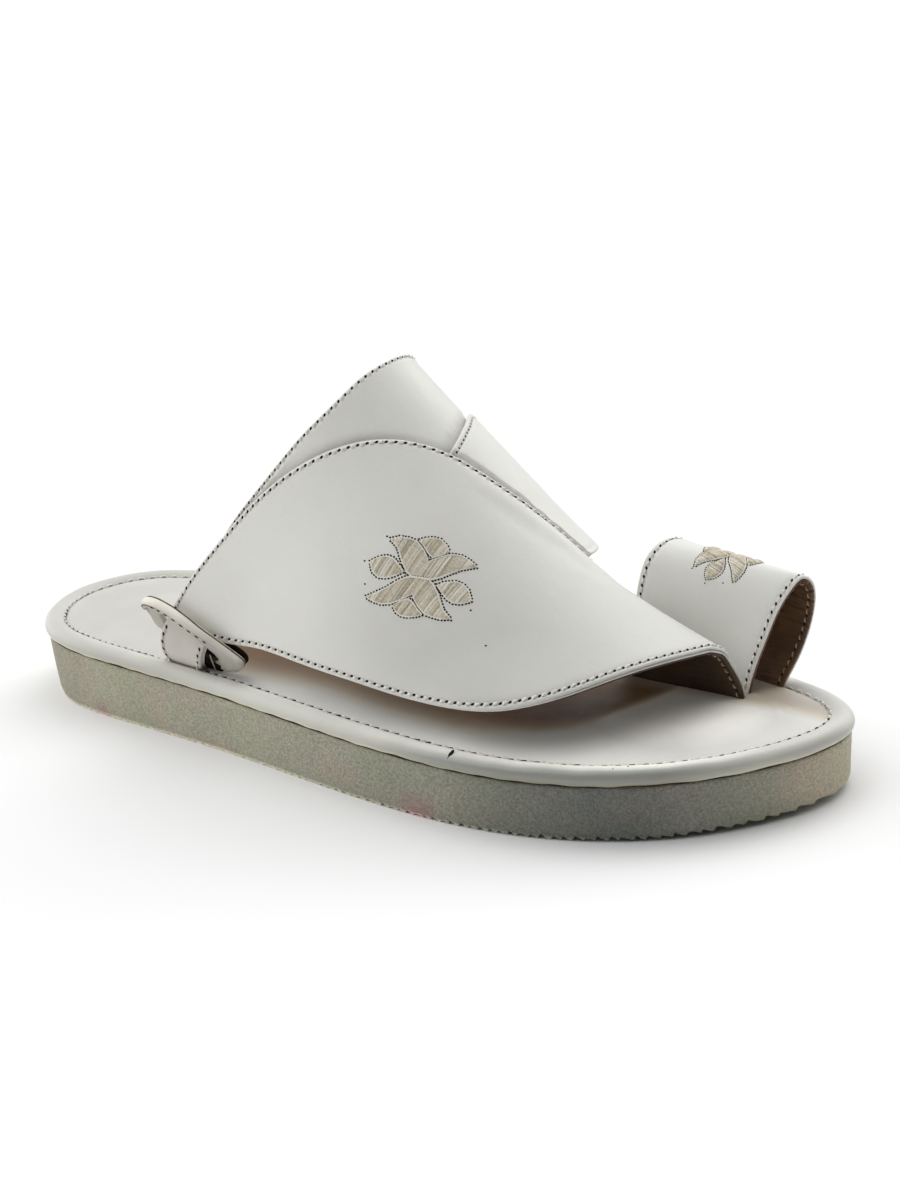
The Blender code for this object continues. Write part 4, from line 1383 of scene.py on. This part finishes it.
def make_toe_loop():
    loop = Ruled(TOE_LOOP)
    u, v, front, back = sheet_grid(loop, 150, 22, 0)
    face = -edge_soft(front, 1.7) - edge_soft(back, 1.7)
    add_leaf("loop_leather", loop, u, v, face, face - LOOP_LAYERS[0], WHITE, "toe_loop")
    loop_face = face_mesh(loop.point(u, v, face))
    u, v, _, _ = sheet_grid(loop, 260, 22, -LOOP_THICK, near=(0.7, 1.4, 2.4, 4), ends=1)
    crumple = np.sin(u * 330 + 2.5 * np.sin(v * 5 + u * 9)) * np.sin(u * 71 + v * 4)
    low = -LOOP_THICK - 0.12 + (0.10 + 0.32 * hump(u, 0.52, 0.20)) * crumple
    add_leaf("loop_lining", loop, u, v, 0 * u - LOOP_LAYERS[1], low, LOOP_LINING, "toe_loop")
    seam, inner = Seam(), Seam()
    for edge in (0, 1):
        seam.sew_edge(loop, edge, 1.7, 0, (0.08, 0.93), loop_face, **LOOP_STITCH)
        points, ups = line_beside(loop, edge, 1.5, -LOOP_THICK - 0.15, 0.10, 0.92)
        inner.sew(points, -ups, radius=0.24, hole=(0.55, 0.34))
    seam.make("loop_stitch", "toe_loop", SEAM_THREAD)
    inner.make("loop_lining_stitch", "toe_loop", INNER_THREAD)
    make_flower("loop_flower", "toe_loop", loop, loop_chart(loop), 0, None, LOOP_FLOWER_SIZE)


# ---------------------------------------------------------------- embroidery


def vamp_chart(vamp):
    """Turns flat millimetres round the vamp flower's centre into u and v."""
    u, v = VAMP_FLOWER
    depth, nudge = VAMP_FACES[1], 0.001
    by_u = (vamp.point(u + nudge, v, depth) - vamp.point(u - nudge, v, depth)) / (2 * nudge)
    by_v = (vamp.point(u, v + nudge, depth) - vamp.point(u, v - nudge, depth)) / (2 * nudge)
    out = unit(vamp.point(u, v, depth + 1) - vamp.point(u, v, depth))
    along = np.array((1, 0, 0))
    along = unit(along - out * (along @ out))
    up = np.cross(out, along)
    back = np.linalg.inv([[by_u @ along, by_v @ along], [by_u @ up, by_v @ up]])
    return lambda spots: np.array((u, v)) + spots @ back.T


def loop_chart(loop):
    """The same for the smaller, turned flower on the crest of the toe loop."""
    at = np.linspace(0, 1, 400)
    reach = reach_along(loop.point(at, 0.5))
    reach -= np.interp(0.5, at, reach)
    width = np.linalg.norm(loop.point(at, 1) - loop.point(at, 0), axis=1)
    c, s = math.cos(LOOP_FLOWER_TURN), math.sin(LOOP_FLOWER_TURN)
    turn = LOOP_FLOWER_SIZE * np.array(((c, -s), (s, c)))

    def chart(spots):
        across, arc = np.moveaxis(spots @ turn.T, -1, 0)
        u = np.interp(arc + LOOP_FLOWER[0], reach, at)
        v = 0.5 - (across + LOOP_FLOWER[1]) / np.interp(u, at, width)
        return np.stack([u, v], axis=-1)

    return chart


def hatch(outline, pitch, slant):
    """Ends of the slanting lines that fill a closed outline."""
    c, s = math.cos(slant), math.sin(slant)
    turned = np.array(outline) @ np.array(((c, -s), (s, c)))
    after = np.roll(turned, -1, axis=0)
    ends = []
    low, high = turned[:, 1].min(), turned[:, 1].max()
    for level in np.arange(low + pitch / 2, high, pitch):
        crosses = (turned[:, 1] > level) != (after[:, 1] > level)
        share = (level - turned[crosses, 1]) / (after[crosses, 1] - turned[crosses, 1])
        where = np.sort(turned[crosses, 0] + share * (after[crosses, 0] - turned[crosses, 0]))
        for start, end in zip(where[::2], where[1::2]):
            if end - start > 0.3:
                ends.append(((start, level), (end, level)))
    return np.array(ends) @ np.array(((c, s), (-s, c)))


def round_outline(edge):
    """The cord that runs round a closed outline, and the places and directions of the
    needle's holes beside it."""
    after = np.roll(edge, -1, axis=0)
    dense = np.concatenate([a + (b - a) * np.linspace(0, 1, 12)[:-1, None]
                            for a, b in zip(edge, after)])
    dense = np.vstack([dense, dense[:1]])
    reach = reach_along(dense)
    at = np.arange(0, reach[-1] - 0.4, NEEDLE_PITCH)
    spot = rows_at(at, reach, dense)
    run = unit(rows_at(at + 0.3, reach, dense) - spot)
    turning = np.sign(np.sum(edge[:, 0] * after[:, 1] - after[:, 0] * edge[:, 1]))
    aside = np.stack([run[:, 1], -run[:, 0]], axis=1) * turning
    cord = rows_at(np.linspace(0, reach[-1], 64), reach, dense)
    return cord + (cord.mean(axis=0) - cord) * 0.02, spot + aside * NEEDLE_ASIDE, run


def laid_strands(centres, ups, thick):
    side = unit(np.cross(ups, unit(np.gradient(centres, axis=1))))
    return strands(centres, side, ups, thick, centres[:, [0, -1]], around=5)


def make_flower(name, node, sheet, chart, depth, cover, size=1):
    def laid(spots, lift):
        u, v = np.moveaxis(chart(spots), -1, 0)
        points, out = sheet.point(u, v, depth), normals_of(sheet, u, v, depth)
        if cover is not None:
            lift = lift + np.nan_to_num(height_over(points, out, cover))
        return points + out * (lift + 0 * u)[..., None], out

    share = np.linspace(0, 1, 9)
    crown = 1 - np.abs(2 * share - 1) ** 3
    rows, holes, hole_runs, cords = [], [], [], []
    for outline in (PETALS, BUD, LEAF):
        for half in (1, -1):
            edge = np.array(outline) * half
            ends = hatch(edge, FLOWER_PITCH / size, FLOWER_SLANT + 0.03 * half)
            ends = ends + RANDOM.normal(0, 0.07, ends.shape)
            rows.append(ends[:, :1] + (ends[:, 1:] - ends[:, :1]) * share[:, None])
            cord, spot, run = round_outline(edge)
            cords.append(cord)
            holes.append(spot + RANDOM.normal(0, 0.05, spot.shape))
            hole_runs.append(run)

    rows = np.concatenate(rows)
    centres, ups = laid(rows, -0.10 + 0.50 * crown)
    thick = FLOWER_RADIUS * (0.55 + 0.45 * crown) * RANDOM.uniform(0.9, 1.1, len(rows))[:, None]
    verts, faces = laid_strands(centres, ups, thick)
    tone = RANDOM.choice(3, len(rows), p=FLOWER_TONES)
    threads = [FLOWER_THREAD, FLOWER_SHADE, FLOWER_LIGHT]
    tone = np.repeat(tone, len(faces) // len(rows))
    belongs(new_piece(f"{name}_thread", verts, faces, threads, tone), "leather_white", node)

    cords = np.array(cords)
    centres, ups = laid(cords, CORD_LIFT)
    cord = laid_strands(centres, ups, np.full(cords.shape[:2], CORD_RADIUS * size))
    add_piece(f"{name}_cord", cord, FLOWER_LIGHT, node)

    holes = np.vstack(holes + [NEEDLE_MARKS])
    hole_runs = np.vstack(hole_runs + [np.tile((1, 0), (len(NEEDLE_MARKS), 1))])
    centres, ups = laid(holes, 0.02)
    ahead, _ = laid(holes + hole_runs * 0.2, 0.02)
    long, short = np.array(NEEDLE_HALF) * size
    pins = lenses(centres, ups, unit(ahead - centres), long, short, 0.1)
    add_piece(f"{name}_pin_holes", pins, HOLE, node)


# ---------------------------------------------------------------- camera, light and floor

CAMERA_AT = (339.76, -482.82, 259.72)  # mm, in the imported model's frame
CAMERA_TO = (4.63, 21.03, 37.32)
CAMERA_ROLL = math.radians(-3.35)
LENS = 59.93
SKY = (  # soft patches of light: azimuth and elevation in degrees, sharpness, strength
    (0, 90, 8, 0.45),
    (80, 60, 12, 1),
    (80, 35, 12, 2.4),
    (120, 60, 12, 1.15),
    (200, 60, 12, 1.35),
    (240, 60, 12, 1.65),
    (65, 12, 14, 1.5),
    (170, 12, 14, 1.5),
    (200, 12, 14, 2.2),
)


def make_camera():
    data = bpy.data.cameras.new("camera")
    data.lens = LENS
    data.sensor_width = 36
    data.clip_start = 0.01
    data.clip_end = 20
    camera = bpy.data.objects.new("camera", data)
    ahead = unit(np.array(CAMERA_TO) - np.array(CAMERA_AT))
    level = unit(np.cross(ahead, (0, 0, 1)))
    upright = np.cross(level, ahead)
    right = level * math.cos(CAMERA_ROLL) + upright * math.sin(CAMERA_ROLL)
    up = -level * math.sin(CAMERA_ROLL) + upright * math.cos(CAMERA_ROLL)
    turn = Matrix((right, up, -ahead)).transposed().to_4x4()
    camera.matrix_world = Matrix.Translation(Vector(CAMERA_AT) * MM) @ turn
    bpy.context.scene.collection.objects.link(camera)
    bpy.context.scene.camera = camera


def make_sky():
    world = bpy.data.worlds.new("studio")
    world.use_nodes = True
    sky = Nodes(world.node_tree)
    way = sky.add("TexCoord").outputs["Generated"]
    total = None
    for azimuth, elevation, sharpness, strength in SKY:
        a, e = math.radians(azimuth), math.radians(elevation)
        toward = (math.cos(a) * math.cos(e), math.sin(a) * math.cos(e), math.sin(e))
        falloff = sky.maths("MULTIPLY_ADD", sky.vectors("DOT_PRODUCT", way, toward), sharpness,
                            -sharpness)
        patch = sky.maths("MULTIPLY", sky.maths("EXPONENT", falloff), strength)
        total = patch if total is None else sky.maths("ADD", total, patch)
    background = sky.tree.nodes["Background"]
    background.inputs["Color"].default_value = (1, 1, 1, 1)
    sky.feed(background.inputs["Strength"], total)
    bpy.context.scene.world = world


def make_floor():
    look = Look("studio_floor", 0.95, Specular_IOR_Level=0.1)
    look.paint(look.ramp(look.noise(2, 2), (0.3, 0.90), (0.7, 0.915)))
    far = 30
    mesh = bpy.data.meshes.new("floor")
    corners = [(-far, -far, 0), (far, -far, 0), (far, far, 0), (-far, far, 0)]
    mesh.from_pydata(corners, [], [(0, 1, 2, 3)])
    mesh.materials.append(look.mat)
    floor = bpy.data.objects.new("floor", mesh)
    bpy.context.scene.collection.objects.link(floor)


make_camera()
make_sky()
make_floor()
make_sole()
make_rim()
make_footbed()
make_upper()
make_straps()
make_keepers()
make_toe_loop()
bpy.context.scene.view_settings.view_transform = "Standard"
